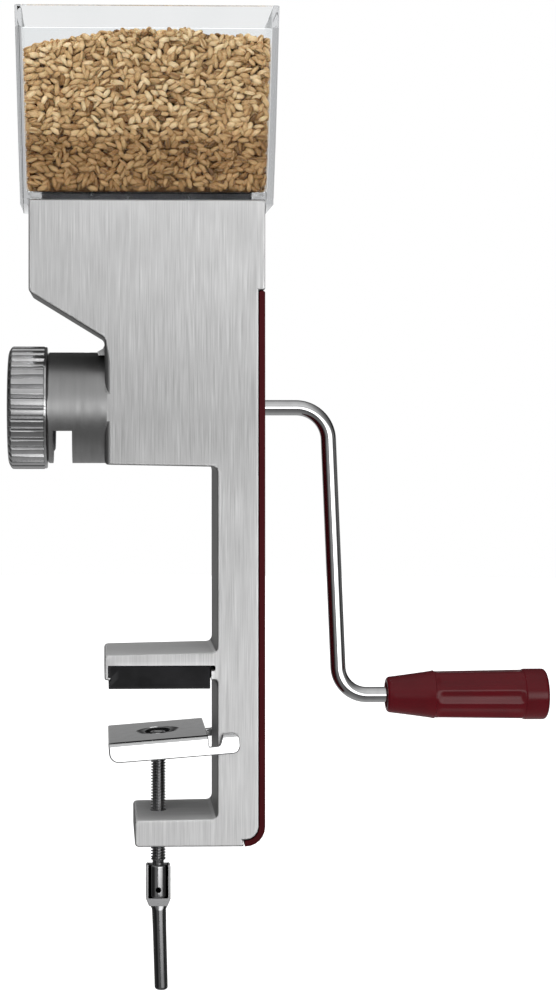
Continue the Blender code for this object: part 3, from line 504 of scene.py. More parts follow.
def extruded(name, outline, axis, low, high, look):
    """Prism: an outline of (x, z) points carried along Y, or of (y, z) points carried along X."""
    rings = []
    for place in (low, high):
        rings.append([(u, place, v) if axis == "Y" else (place, u, v) for u, v in outline])
    return loft(name, rings, look)


def closed_outline(corners, steps=6):
    """Points round a closed outline of (first, second, radius) corners."""
    first, last = corners[0], corners[-1]
    start = ((first[0] + last[0]) / 2, (first[1] + last[1]) / 2, 0.0)
    path = rounded_path([start, *corners, start], steps)
    return [(point.x, point.y) for point in path[:-1]]


def grid_cuts(obj, spacing, margin=1.1 * MM):
    """Cuts every face on a grid, so that wear found at the edges stays at the edges."""
    nudge = 0.013 * MM  # keeps the cuts off the edges that are already there
    cage = bmesh.new()
    cage.from_mesh(obj.data)
    low = [min(vert.co[axis] for vert in cage.verts) for axis in range(3)]
    high = [max(vert.co[axis] for vert in cage.verts) for axis in range(3)]
    for axis in range(3):
        across = Vector((0.0, 0.0, 0.0))
        across[axis] = 1.0
        count = max(1, round((high[axis] - low[axis]) / spacing))
        cuts = [low[axis] + (high[axis] - low[axis]) * step / count for step in range(1, count)]
        for place in [low[axis] + margin, *cuts, high[axis] - margin]:
            all_parts = [*cage.verts, *cage.edges, *cage.faces]
            middle = across * (place + nudge)
            bmesh.ops.bisect_plane(cage, geom=all_parts, dist=1e-7, plane_co=middle, plane_no=across)
    cage.to_mesh(obj.data)
    cage.free()


def refined(node, looks, width=0.0, segments=3, angle=30.0):
    """Copy of a CAD node with welded points, clean flat faces and, if a width is given, rounded edges."""
    cage = bmesh.new()
    cage.from_mesh(frame["nodes"][node].data)
    bmesh.ops.remove_doubles(cage, verts=cage.verts, dist=0.005 * MM)
    bmesh.ops.dissolve_limit(cage, angle_limit=math.radians(0.6), verts=cage.verts, edges=cage.edges)
    mesh = bpy.data.meshes.new(node + "_look")
    cage.to_mesh(mesh)
    cage.free()
    for look in looks:
        mesh.materials.append(look)
    obj = new_object(node + "_look", mesh)
    for face in mesh.polygons:
        face.material_index = 0
    if width:
        chamfer(obj, width, segments, angle)
        apply_modifiers(obj)
        grid_cuts(obj, 6 * MM)
    return obj


def stand_for(piece, node, angle=35.0):
    """The piece is shaded smooth, rides with the node's body and is shown in its place, the node hidden."""
    soften(piece, angle)
    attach(piece, frame["nodes"][node]["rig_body"])
    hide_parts(node)


# Body

# The housing's material slots, in this order, and the looks they hold
FACE, SIDE, BARREL, BORE, LIT_TOP = range(5)
HOUSING_LOOKS = ("face", "side", "barrel", "bore", "lit_top")


def paint_housing(obj):
    """Brushed front and back, darker sawn sides, turned barrel, rough bores, and a paler, less metallic copy of the
    sawn side on the arms' upward faces as painted light from above.
    """
    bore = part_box("end_plate")[1].z - AXIS_Z + 0.6 * MM
    barrel = BARREL_RADIUS + 0.4 * MM
    barrel_heights = (108 * MM, AXIS_Z + 30 * MM)
    arms_top = 30 * MM
    for face in obj.data.polygons:
        middle = face.center
        reach = math.hypot(middle.y, middle.z - AXIS_Z)
        off_back = abs(abs(middle.y) - BACK)
        on_outside = off_back < 0.05 * MM and middle.x > NECK_LEFT
        beside_axis = abs(middle.z - AXIS_Z) < 8.5 * MM and abs(middle.y) > BACK - 1 * MM
        left_of_neck = middle.x < NECK_LEFT + (2.8 * MM if beside_axis else 0.3 * MM)
        if reach < bore and not on_outside and not beside_axis:
            face.material_index = BORE
        elif left_of_neck and barrel_heights[0] < middle.z < barrel_heights[1] and reach < barrel:
            face.material_index = BARREL
        elif abs(face.normal.y) > 0.92 and off_back < 0.3 * MM:
            face.material_index = FACE
        # Painted light: upward faces on the arms take the paler, less metallic copy of the sawn side
        elif face.normal.z > 0.75 and middle.z < arms_top:
            face.material_index = LIT_TOP
        else:
            face.material_index = SIDE


def round_neck(housing, look):
    """Rounds the neck's left edge, front and back, except where the barrel runs into it."""
    shares = [(105 * MM, 1.0)]
    shares += [(NECK_TOP - down * MM, share) for down, share in ((12, 1.0), (8, 0.8), (4, 0.5), (1, 0.32))]
    outside_x = NECK_LEFT - 2 * MM
    outside_y = BACK + 2 * MM
    cutters = []
    for sign in (-1, 1):
        rings = []
        for z, share in shares:
            radius = NECK_ROUND * share
            middle_x = NECK_LEFT + radius
            middle_y = BACK - radius
            ring = [(outside_x, middle_y)]
            for step in range(9):
                angle = math.radians(180 - 90 * step / 8)
                ring.append((middle_x + radius * math.cos(angle), middle_y + radius * math.sin(angle)))
            ring += [(middle_x, outside_y), (outside_x, outside_y)]
            rings.append([(x, sign * y, z) for x, y in ring])
        cutter = loft("neck_edge", rings, look)
        kept = [(-70 * MM, BARREL_RADIUS + 0.1 * MM), (10 * MM, BARREL_RADIUS + 0.1 * MM)]
        cut(cutter, [turned("kept_barrel", "X", kept, (0.0, AXIS_Z), look, 96)])
        cutters.append(cutter)
    cut(housing, cutters)


def set_housing_normals(obj, limit=38.0):
    """Flat faces stay flat, the barrel is round, and every edge band blends into the faces beside it."""
    mesh = obj.data
    cosine = math.cos(math.radians(limit))
    around = [[] for _ in mesh.vertices]
    headings = [tuple(round(part, 2) for part in face.normal) for face in mesh.polygons]
    facing = dict.fromkeys(headings, 0.0)
    for face, heading in zip(mesh.polygons, headings):
        facing[heading] += face.area
        for index in face.vertices:
            around[index].append(face.index)
    broad = 400 * MM * MM
    flat = [
        face.material_index != BARREL and facing[heading] > broad
        for face, heading in zip(mesh.polygons, headings)
    ]
    rim = BARREL_RADIUS - 1.3 * MM

    def normal_at(face, index):
        place = mesh.vertices[index].co
        radial = Vector((0.0, place.y, place.z - AXIS_Z))
        if face.material_index == BARREL and radial.length > rim and abs(face.normal.x) < 0.5:
            return radial.normalized()
        if flat[face.index]:
            return face.normal.copy()
        near = [mesh.polygons[other] for other in around[index]]
        near = [other for other in near if other.material_index != BARREL]
        near = [other for other in near if other.normal.dot(face.normal) > cosine]
        level = [other for other in near if flat[other.index]]
        if level:
            return max(level, key=lambda other: other.area).normal.copy()
        total = sum((other.normal * min(other.area, 1e-6) for other in near), Vector())
        return total.normalized() if total.length > 0 else face.normal.copy()

    normals = [normal_at(face, index) for face in mesh.polygons for index in face.vertices]
    mesh.shade_smooth()
    mesh.normals_split_custom_set(normals)


def build_body(looks):
    housing = refined("housing", [looks[look] for look in HOUSING_LOOKS])
    round_neck(housing, looks["side"])
    grid_cuts(housing, 3.5 * MM)
    paint_housing(housing)
    set_housing_normals(housing)
    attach(housing, frame["nodes"]["housing"]["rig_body"])
    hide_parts("housing")
    cover = refined("rear_cover", [looks["face"]], width=0.25 * MM)
    stand_for(cover, "rear_cover")
    trim = refined("side_trim", [looks["trim"]], width=0.7 * MM, segments=4, angle=60.0)
    stand_for(trim, "side_trim")
    pad = refined("clamp_pad", [looks["rubber"]], width=0.4 * MM)
    stand_for(pad, "clamp_pad")
    for number in range(1, 7):
        build_cover_screw(f"cover_screw_{number}", looks["steel"])


def build_cover_screw(node, look):
    """Countersunk socket screw: domed head with a hexagon recess."""
    low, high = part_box(node)
    centre = ((low.x + high.x) / 2, (low.z + high.z) / 2)
    sixth = math.pi / 3

    def recess(share):
        return lambda angle: math.cos(sixth / 2) / math.cos((angle % sixth) - sixth / 2)

    head = [
        (-1.30, 0.23), (-1.20, 1.15, 1), (-0.12, 1.15, 1), (-0.02, 1.3225, 1),
        (0.0, 1.9), (-0.06, 2.45), (-0.22, 2.62), (-1.70, 1.3),
    ]
    rows = in_mm(head, high.y) + in_mm([(0.4, 1.3), (0.0, 0.9)], low.y)
    stand_for(loft(node + "_look", rings_about("Y", rows, 48, centre, recess), look), node)


# Adjuster ring


def build_adjuster_ring(look):
    """Knob with 36 rounded ridges between two chamfered ends, and a turned dish in its left face."""
    left = RING_LOW.x
    right = RING_HIGH.x
    outer = RING_HIGH.z - AXIS_Z
    ridges = 36
    per_ridge = 14
    depth = 1.6 * MM

    def ridged(share):
        def shape(angle):
            across = abs((angle / (2 * math.pi) * ridges) % 1.0 * 2 - 1)
            crown = 0.10 * across * across
            groove = max(0.0, across - 0.52) / 0.48
            return 1.0 - share * depth * (crown + 0.9 * math.sin(math.pi / 2 * groove) ** 2) / outer

        return shape

    dish = [(1.6, 0.2), (1.6, 15.4), (1.2, 16.0), (0.15, 16.4), (0.0, 16.7), (0.0, 28.2), (0.3, 29.2)]
    left_end = [(0.5, -2.2, 0.1), (1.0, -1.3, 0.6), (1.7, -0.4, 0.9), (2.4, 0.0, 1.0)]
    right_end = [(-1.7, 0.0, 1.0), (-1.5, -0.2, 0.6), (-1.3, -0.3, 0), (-0.4, -0.35, 0), (-0.1, -0.7, 0)]
    mouth = [(-0.1, 29.2), (0.0, 28.6), (0.0, 25.9), (-0.5, 25.4)]
    rows = in_mm(dish, left) + in_mm(left_end, left, outer) + in_mm(right_end, right, outer)
    rows += in_mm(mouth, right) + in_mm([(4.3, 25.4), (4.3, 0.2)], left)
    rings = rings_about("X", rows, ridges * per_ridge, (0.0, AXIS_Z), ridged)
    stand_for(loft("adjuster_ring_look", rings, look), "adjuster_ring", 40.0)


# Crank and grip


def build_crank_rod(look):
    low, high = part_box("crank_rod")
    radius = 4.0 * MM
    knee_z = low.z + radius
    bends = [(88.1 * MM, AXIS_Z, 17.0 * MM), (94.4 * MM, knee_z, 15.0 * MM)]
    path = rounded_path([(low.x, AXIS_Z, 0.0), *bends, (high.x, knee_z, 0.0)], steps=20)
    count = 40
    rings = []
    for place, point in enumerate(path):
        before = path[max(place - 1, 0)]
        after = path[min(place + 1, len(path) - 1)]
        along = (after - before).normalized()
        across = Vector((-along.y, along.x))
        ring = []
        for step in range(count):
            angle = 2 * math.pi * step / count
            lift = radius * math.cos(angle)
            side = radius * math.sin(angle)
            ring.append((point.x + across.x * lift, side, point.y + across.y * lift))
        rings.append(ring)
    stand_for(loft("crank_rod_look", rings, look), "crank_rod", 50.0)


def build_grip(look):
    """Tapered plastic grip: smooth nose, eight shallow flutes with rounded ends, smooth domed end."""
    start = GRIP_LOW.x
    end = GRIP_HIGH.x
    flutes = 8
    depth = 0.9 * MM

    def fluted(share):
        def shape(angle):
            # Angle 180 points along -Y, to the front
            wave = abs(math.cos((angle - math.pi) * flutes / 2))
            hollow = max(0.0, wave - 0.35) / 0.65
            return 1.0 - share * depth * hollow ** 1.2 / (12.5 * MM)

        return shape

    lip = [(3.5, 4.4), (3.0, 6.2), (0.5, 6.4), (0.05, 6.8), (0.0, 7.4), (0.05, 8.0), (0.45, 8.7), (1.3, 9.25)]
    rows = in_mm([(-12.0, 4.4)], end) + in_mm(lip, start)
    nose_start = start + 1.3 * MM
    nose_steps = 10
    for step in range(1, nose_steps + 1):
        share = step / nose_steps
        bulge = 9.25 * MM + 2.95 * MM * share - 0.25 * MM * share * (1 - share)
        rows.append((nose_start + (142.4 * MM - nose_start) * share, bulge))
    rows += in_mm([(142.9, 12.42), (143.6, 12.45), (143.9, 12.10), (144.2, 12.05)])
    rows += in_mm([(145.0, 12.20, 0.30), (146.0, 12.20, 0.75), (147.5, 12.20, 1.0)])
    rows += in_mm([(187.0, 12.80, 1.0), (188.5, 12.80, 0.75), (189.5, 12.80, 0.30)])
    rows += in_mm([(190.0, 12.70), (190.3, 12.72), (190.7, 13.10), (191.3, 13.18)])
    rows += in_mm([(-3.0, 13.2)], end)
    dome_steps = 8
    for step in range(1, dome_steps + 1):
        angle = math.pi / 2 * step / dome_steps
        rows += in_mm([(-2.4 + 2.2 * math.sin(angle), 10.4 + 2.8 * math.cos(angle))], end)
    rows += in_mm([(0.0, 8.5), (0.0, 4.6), (-0.6, 4.2), (-0.8, 0.2), (-11.5, 0.2)], end)
    rings = rings_about("X", rows, 160, (0.0, GRIP_Z), fluted)
    stand_for(loft("grip_look", rings, look, closed=True), "grip", 38.0)


# Clamp


def build_clamp_screw(look):
    """Rolled M8 x 1.5 thread, plain neck and a pinned head with a cross hole."""
    low, high = SCREW_LOW, SCREW_HIGH
    pitch = 1.5 * MM
    radius = 4.0 * MM
    thread_depth = 1.25 * MM
    head_top = -94.4 * MM
    thread_top = -34.3 * MM
    thread_bottom = head_top + 2.4 * MM
    count = 40
    per_pitch = 10

    def threaded(z, strength):
        def shape(angle):
            turn = (z / pitch - angle / (2 * math.pi)) % 1.0
            wave = 0.5 - 0.5 * math.cos(2 * math.pi * turn)
            return 1.0 - strength * thread_depth * wave ** 0.8 / radius

        return shape

    tip = in_mm([(0.0, 0.2), (0.0, 2.5)], high.z) + in_mm([(-33.5, 2.5), (-33.6, 3.1)])
    rings = rings_about("Z", tip, count)
    steps = round((thread_top - thread_bottom) / pitch * per_pitch)
    for step in range(steps + 1):
        z = thread_top + (thread_bottom - thread_top) * step / steps
        ends = min(step, steps - step) / per_pitch
        rings.append(ring_about("Z", z, radius, count, shape=threaded(z, min(1.0, 0.25 + ends))))
    head = [(0.2, 2.9), (0.0, 3.1), (-0.02, 4.1), (-0.20, 4.55), (-0.60, 4.88), (-1.10, 5.0)]
    foot = [(1.0, 5.0), (0.55, 4.88), (0.20, 4.6), (0.02, 4.1), (0.0, 3.6), (0.0, 0.2)]
    neck = in_mm([(-0.5, 3.0)], thread_bottom) + in_mm(head, head_top) + in_mm(foot, low.z)
    screw = loft("clamp_screw_look", rings + rings_about("Z", neck, count), look)
    pin_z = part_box("tommy_pin")[0].z + 1.5 * MM
    pin_hole = turned("pin_hole", "X", in_mm([(-8, 1.62), (8, 1.62)]), (0.0, pin_z), look, 24)
    cross_hole = turned("cross_hole", "Y", in_mm([(-8, 1.5), (8, 1.5)]), (0.0, -107.2 * MM), look, 32)
    cut(screw, [pin_hole, cross_hole])
    stand_for(screw, "clamp_screw", 40.0)


def build_small_turned(node, axis, profile, centre, look, closed=False):
    stand_for(turned(node + "_look", axis, profile, centre, look, closed=closed), node)


def build_clamp(looks):
    build_clamp_screw(looks["screw"])
    low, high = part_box("jaw_rivet")
    head = [(-0.5, 2.8), (-0.1, 3.0), (0.0, 3.4), (-0.15, 3.8), (-0.5, 4.05)]
    rivet = in_mm([(0.0, 2.8)], low.z) + in_mm(head, high.z) + in_mm([(0.1, 4.1), (0.0, 4.0)], low.z)
    build_small_turned("jaw_rivet", "Z", rivet, (0.0, 0.0), looks["chrome"], closed=True)
    low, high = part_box("swivel_washer")
    washer = in_mm([(0.0, 2.8), (0.0, 4.6), (-0.2, 5.1), (-0.6, 5.5)], high.z)
    washer += in_mm([(0.3, 5.5), (0.0, 5.2), (0.0, 2.8)], low.z)
    build_small_turned("swivel_washer", "Z", washer, (0.0, 0.0), looks["steel"], closed=True)
    low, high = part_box("tommy_pin")
    end = [(6.2, 1.5), (6.4, 1.35), (6.5, 1.0), (6.5, 0.3)]
    pin = in_mm([(-place, radius) for place, radius in reversed(end)] + end)
    build_small_turned("tommy_pin", "X", pin, (0.0, (low.z + high.z) / 2), looks["steel"])
    build_tommy_handle(looks["dull"])
    build_jaw(looks["chrome"])


def build_tommy_handle(look):
    """Yoke whose two ears hold the screw's head, running out into a round bar."""
    half = [
        (5.08, -111.8, 0.6), (5.08, -94.5, 0.15), (6.40, -94.5, 1.1), (6.40, -112.2, 2.0), (4.75, -116.0, 0.3)
    ]
    mirrored = [(-x, z, radius) for x, z, radius in reversed(half)]
    outline = mirrored[2:] + half + mirrored[:2]
    corners = [(x * MM, z * MM, radius * MM) for x, z, radius in outline]
    handle = extruded("tommy_handle_look", closed_outline(corners), "Y", -3.3 * MM, 3.3 * MM, look)
    chamfer(handle, 0.28 * MM, 2, 50.0)
    apply_modifiers(handle)
    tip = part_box("tommy_handle")[0].z
    pin_z = (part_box("tommy_pin")[0].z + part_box("tommy_pin")[1].z) / 2
    lean = math.tan(math.radians(1.6))
    bar = [
        (-115.0, 4.60, 3.05), (-115.8, 4.65, 3.14), (-116.8, 4.25, 3.34), (-117.8, 3.78, 3.50),
        (-118.3, 3.72, 3.52), (-128.0, 3.55, 3.50), (-158.2, 3.45, 3.50),
    ]
    stations = [(z * MM, wide, deep) for z, wide, deep in bar]
    for step in range(1, 7):
        angle = math.pi / 2 * step / 6
        reach = 1.9 + 1.6 * math.cos(angle)
        stations.append((tip + 1.6 * MM * (1 - math.sin(angle)), reach, reach))
    circle = ring_about("Z", 0.0, MM, 48)
    rings = []
    for z, wide, deep in stations:
        shift = (pin_z - z) * lean
        rings.append([(x * wide + shift, y * deep, z) for x, y, _ in circle])
    join(handle, [loft("tommy_bar", rings, look)])
    cut(handle, [turned("ear_hole", "X", in_mm([(-8, 1.55), (8, 1.55)]), (0.0, pin_z), look, 24)])
    stand_for(handle, "tommy_handle")


def build_jaw(look):
    """Pressed plate: two lips turned down along its long sides, each with a hook, and a dish."""
    pivot = -28.7 * MM
    tilt = math.radians(4.5)
    top = -25.0 * MM - pivot
    sheet = 1.8 * MM
    half_depth = 31.5 * MM
    inner = half_depth - sheet
    left = -25.9 * MM
    right = 24.8 * MM
    hook = 40.5 * MM
    lip = top - 10.3 * MM
    deep = top - 12.0 * MM
    section = [
        (-half_depth, deep, 0.0),
        (-half_depth, top, 2.3 * MM),
        (half_depth, top, 2.3 * MM),
        (half_depth, deep, 0.0),
        (inner, deep, 0.0),
        (inner, top - sheet, 0.6 * MM),
        (-inner, top - sheet, 0.6 * MM),
        (-inner, deep, 0.0),
    ]
    jaw = extruded("jaw_plate_look", closed_outline(section, 8), "X", left - 2 * MM, hook + 2 * MM, look)
    side = [
        (left, top + 3 * MM, 0.0),
        (left, lip, 5.0 * MM),
        (hook, lip, 3.6 * MM),
        (hook, top - 0.1 * MM, 3.0 * MM),
        (hook - 8.3 * MM, top - 0.1 * MM, 1.3 * MM),
        (hook - 10.4 * MM, top - 5.8 * MM, 2.0 * MM),
        (right, top - 5.8 * MM, 0.5 * MM),
        (right, top + 3 * MM, 0.0),
    ]
    keep_within(jaw, extruded("jaw_side", closed_outline(side), "Y", -40 * MM, 40 * MM, look))
    gap = [(-inner, -30 * MM), (inner, -30 * MM), (inner, 30 * MM), (-inner, 30 * MM)]
    cut(jaw, [extruded("jaw_gap", gap, "X", right + 0.1 * MM, hook + 6 * MM, look)])
    chamfer(jaw, 0.7 * MM, 4, 60.0, clamp=False)
    apply_modifiers(jaw)
    dish = in_mm([(-1.0, 11.0), (-1.8, 11.0), (-4.6, 8.2)], top)
    hollow = [(1.0, 11.4), (-0.12, 11.3), (-0.5, 10.2), (-1.2, 9.1), (-2.0, 8.2), (-2.6, 7.2), (-2.8, 6.0)]
    join(jaw, [turned("jaw_dish", "Z", dish, (0.0, 0.0), look, 64)])
    cut(jaw, [turned("jaw_hollow", "Z", in_mm(hollow, top), (0.0, 0.0), look, 64)])
    cut(jaw, [turned("jaw_hole", "Z", in_mm([(-8, 3.3), (0, 3.3)], top), (0.0, 0.0), look, 48)])
    jaw.data.transform(Matrix.Translation((0.0, 0.0, pivot)) @ Matrix.Rotation(-tilt, 4, "Y"))
    stand_for(jaw, "jaw_plate", 45.0)


# Hopper and wheat


class HopperForm:
    """Inside and outside of the hopper at any height."""

    middle_x = (HOPPER_LOW.x + HOPPER_HIGH.x) / 2
    wall = 3.0 * MM
    floor = 248.3 * MM
    ledge = 251.9 * MM
    knee = 281.0 * MM
    top = 345.9 * MM
    half_width = (64.3 * MM, 67.0 * MM)
    half_depth = (28.2 * MM, 32.0 * MM)
    inlet_x = (-60.5 * MM, 48.0 * MM)
    bore_x = (-50.0 * MM, 38.0 * MM)
    inlet_half_depth = 19.0 * MM

    @classmethod
    def width_at(cls, z):
        share = (z - cls.floor) / (cls.top - cls.floor)
        return cls.half_width[0] + (cls.half_width[1] - cls.half_width[0]) * share

    @classmethod
    def depth_at(cls, z):
        """Half depth outside; the knee is a soft bend."""
        share = min(1.0, max(0.0, (z - cls.floor) / (cls.knee - cls.floor)))
        return cls.half_depth[0] + (cls.half_depth[1] - cls.half_depth[0]) * share

    @classmethod
    def ring(cls, z, shrink, radius, steps=6):
        width = cls.width_at(z) - shrink
        depth = cls.depth_at(z) - shrink
        return rounded_rectangle(cls.middle_x - width, cls.middle_x + width, -depth, depth, radius, z, steps)

    @classmethod
    def inlet_ring(cls, z, grow=0.0, steps=6, sides=None):
        left, right = sides or cls.inlet_x
        depth = cls.inlet_half_depth + grow
        return rounded_rectangle(left - grow, right + grow, -depth, depth, 2.0 * MM + grow, z, steps)


def build_hopper(look):
    """Clear moulded box with rounded rims, a bend in its long walls, and tabs over the body's sides."""
    form = HopperForm
    rim = [(-0.4, 0.0, 1.4), (-0.1, 0.12, 1.3), (0.0, 0.4, 1.2)]
    rim += [(0.0, 2.6, 1.2), (-0.1, 2.88, 1.1), (-0.4, 3.0, 1.0)]
    skin = [
        (form.floor, [(0.0, 0.5, 1.2), (0.15, 0.15, 1.3), (0.5, 0.0, 1.4)]),
        (form.knee, [(-2.0, 0.0, 1.4), (0.0, 0.05, 1.4), (2.0, 0.0, 1.4)]),
        (form.top, rim),
        (form.knee, [(1.5, 3.0, 1.0), (-1.5, 3.0, 1.0)]),
        (form.ledge, [(2.5, 3.0, 1.0), (0.8, 3.4, 1.4), (0.15, 4.2, 1.8), (0.0, 5.4, 2.2)]),
    ]
    rings = []
    for level, rows in skin:
        rings += [form.ring(level + lift * MM, shrink * MM, radius * MM) for lift, shrink, radius in rows]
    rings.append(form.inlet_ring(form.ledge, 0.4 * MM))
    rings.append(form.inlet_ring(form.ledge - 0.4 * MM))
    rings.append(form.inlet_ring(form.floor))
    hopper = loft("hopper_look", rings, look, closed=True)
    add_skirts(hopper, look)
    stand_for(hopper, "hopper", 40.0)


def add_skirts(hopper, look):
    """Tabs that hang from the short walls over the body's sides."""
    form = HopperForm
    depth = 26.2 * MM
    for side, body_side in ((-1, HOUSING_TOP_LEFT), (1, HOUSING_TOP_RIGHT)):
        ends = sorted([body_side + side * 0.3 * MM, form.middle_x + side * form.half_width[0]])
        levels = (HOPPER_LOW.z + 0.3 * MM, form.floor + 1.4 * MM)
        rings = [rounded_rectangle(*ends, -depth, depth, 0.4 * MM, level, 3) for level in levels]
        join(hopper, [loft("skirt", rings, look)])


def heap_height(x, y):
    """Top of the wheat: a low heap, highest a little right of the middle."""
    form = HopperForm
    across = (x - form.middle_x) / form.half_width[1]
    deep = y / form.half_depth[1]
    crown = 336.0 - 7.5 * max(0.0, abs(across - 0.05) - 0.18) ** 1.2 - 4.0 * max(0.0, -across) ** 2
    crown -= 1.6 * abs(deep) ** 2
    ripple = noise.noise(Vector((x * 55.0, y * 55.0, SEED)))
    return (crown + 1.5 * ripple) * MM


def kernel_form(around=8):
    """(points, faces, shade) of one kernel of length 1 along X and width 1: blunt ends, a crease along -Z."""
    stations = [(-0.47, 0.42), (-0.36, 0.76), (-0.12, 0.98), (0.14, 1.0), (0.36, 0.74), (0.47, 0.38)]
    points = [(-0.50, 0.0, 0.0)]
    shade = [0.55]
    for x, width in stations:
        for step in range(around):
            angle = 2 * math.pi * step / around
            reach = width / 2 * (1.0 if step else 0.50)
            points.append((x, reach * math.sin(angle), -reach * math.cos(angle) * 0.92))
            shade.append(1.0 - 0.35 * abs(x) ** 2 * 4 if step else 0.25)
    points.append((0.50, 0.0, 0.0))
    shade.append(0.5)
    last = len(points) - 1
    sides = [(step, (step + 1) % around) for step in range(around)]
    faces = [(0, 1 + following, 1 + step) for step, following in sides]
    for low in range(1, last - around, around):
        high = low + around
        faces += [(low + step, low + following, high + following, high + step) for step, following in sides]
    faces += [(last - around + step, last - around + following, last) for step, following in sides]
    return np.array(points), faces, np.array(shade)


def store_tone_and_shade(obj, tones):
    """Keeps one tone for each point, painted shade and light included, in the attribute that the wheat material
    reads.
    """
    stored = obj.data.attributes.new("kernel", "FLOAT", "POINT")
    stored.data.foreach_set("value", tones.reshape(-1).astype(np.float32))


class KernelBed:
    """Kernels laid against one surface, each turned so that it overlaps its neighbours least."""

    length = 6.4 * MM
    width = 3.1 * MM
    tries = 12
    level_share = 0.62
    level_spread = math.radians(24)
    dark_share = 0.06

    def __init__(self, rng):
        self.rng = rng
        self.kernels = []

    def lay(self, spots, normal, lean_limit, share=1.0):
        """spots are places on the surface, each kernel just under it; share is painted shade that darkens the
        hidden layers.
        """
        cells = {}
        normal = np.array(normal)
        helper = np.array([0.0, 0.0, 1.0]) if abs(normal[2]) < 0.9 else np.array([1.0, 0.0, 0.0])
        first = np.cross(normal, helper)
        first /= np.linalg.norm(first)
        second = np.cross(normal, first)
        reach = (self.length - self.width) / 2 * np.array([-1.0, 0.0, 1.0])
        for spot in spots:
            spot = np.array(spot)
            key = tuple(np.floor(spot / self.length).astype(int))
            beside = [tuple(np.array(key) + shift - 1) for shift in np.ndindex(3, 3, 3)]
            near = [balls for cell in beside for balls in cells.get(cell, [])]
            level = self.rng.normal(0.0, self.level_spread, self.tries)
            near_level = self.rng.random(self.tries) < self.level_share
            angles = np.where(near_level, level, self.rng.uniform(0, math.pi, self.tries))
            leans = self.rng.uniform(-lean_limit, lean_limit, self.tries)
            flat = np.outer(np.cos(angles), first) + np.outer(np.sin(angles), second)
            axes = flat * np.cos(leans)[:, None] + np.outer(np.sin(leans), normal)
            places = spot - np.outer(self.width * 0.48 + np.abs(np.sin(leans)) * 2.2 * MM, normal)
            places = self.kept_inside(places, axes)
            balls = places[:, None, :] + axes[:, None, :] * reach[None, :, None]
            cost = np.zeros(self.tries)
            if near:
                others = np.concatenate(near)
                gaps = np.linalg.norm(balls[:, :, None, :] - others[None, None, :, :], axis=3)
                cost = np.square(np.maximum(0.0, self.width - gaps)).sum(axis=(1, 2))
            best = int(cost.argmin())
            cells.setdefault(key, []).append(balls[best])
            self.kernels.append((places[best], axes[best], normal, share))

    def kept_inside(self, places, axes):
        """Moves kernels whose tips would poke through a wall or the ledge back into the hopper."""
        form = HopperForm
        tips = np.abs(axes) * self.length * 0.54
        sides = np.sqrt(np.maximum(0.0, 1.0 - axes * axes)) * self.width * 0.54
        extent = np.hypot(tips, sides)
        z = np.maximum(places[:, 2], form.ledge + 0.3 * MM + extent[:, 2])
        lowest = z - extent[:, 2]
        widths = np.array([form.width_at(height) for height in lowest]) - form.wall - 0.2 * MM - extent[:, 0]
        depths = np.array([form.depth_at(height) for height in lowest]) - form.wall - 0.2 * MM - extent[:, 1]
        x = form.middle_x + np.clip(places[:, 0] - form.middle_x, -widths, widths)
        y = np.clip(places[:, 1], -depths, depths)
        return np.stack([x, y, z], axis=1)

    def mesh(self, name, look):
        """One mesh of every kernel, with a tone for each point, painted shade and light included, in the attribute
        the material reads.
        """
        form, form_faces, form_shade = kernel_form()
        count = len(self.kernels)
        points = np.empty((count, len(form), 3))
        tones = np.empty((count, len(form)))
        knee = HopperForm.knee
        for index, (place, axis, normal, share) in enumerate(self.kernels):
            up = normal - axis * normal.dot(axis)
            up /= np.linalg.norm(up)
            side = np.cross(up, axis)
            roll = self.rng.normal(0.0, 0.9) if self.rng.random() < 0.7 else self.rng.uniform(0, 2 * math.pi)
            top = up * math.cos(roll) + side * math.sin(roll)
            across = np.cross(top, axis)
            size = self.rng.uniform(0.86, 1.08)
            slim = self.rng.uniform(0.88, 1.08)
            local = form * np.array([self.length * size, self.width * slim, self.width * slim])
            points[index] = place + local @ np.array([axis, across, top])
            tone = self.rng.uniform(0.45, 0.95)
            if self.rng.random() < self.dark_share:
                tone = self.rng.uniform(0.10, 0.35)
            # Painted shade: kernels below the bend in the walls are darker
            shaded = 0.56 + 0.44 * min(1.0, max(0.0, (place[2] - knee + 3 * MM) / (7 * MM)))
            # Painted light: kernels near the top of the heap are lighter
            under_top = (place[2] - heap_height(place[0], place[1])) / (9 * MM)
            crown = 1.0 + 0.22 * min(1.0, max(0.0, under_top + 1.0))
            # form_shade is painted shade on the crease and the ends, share painted shade on the hidden layers
            tones[index] = tone * form_shade * shaded * share * crown
        faces = []
        for index in range(count):
            start = index * len(form)
            faces += [tuple(start + corner for corner in face) for face in form_faces]
        obj = mesh_object(name, points.reshape(-1, 3), faces, look)
        store_tone_and_shade(obj, tones)
        obj.data.shade_smooth()
        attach(obj, "hopper")
        return obj


def hex_grid(width, height, pitch, rng):
    """Jittered hexagonal grid over a rectangle."""
    spots = []
    rows = int(height / (pitch * 0.866)) + 1
    columns = int(width / pitch) + 1
    for row in range(rows):
        for column in range(columns):
            u = (column + 0.5 * (row % 2) + rng.uniform(-0.32, 0.32)) * pitch
            v = (row * 0.866 + rng.uniform(-0.30, 0.30)) * pitch
            if 0 <= u <= width and 0 <= v <= height:
                spots.append((u, v))
    return spots


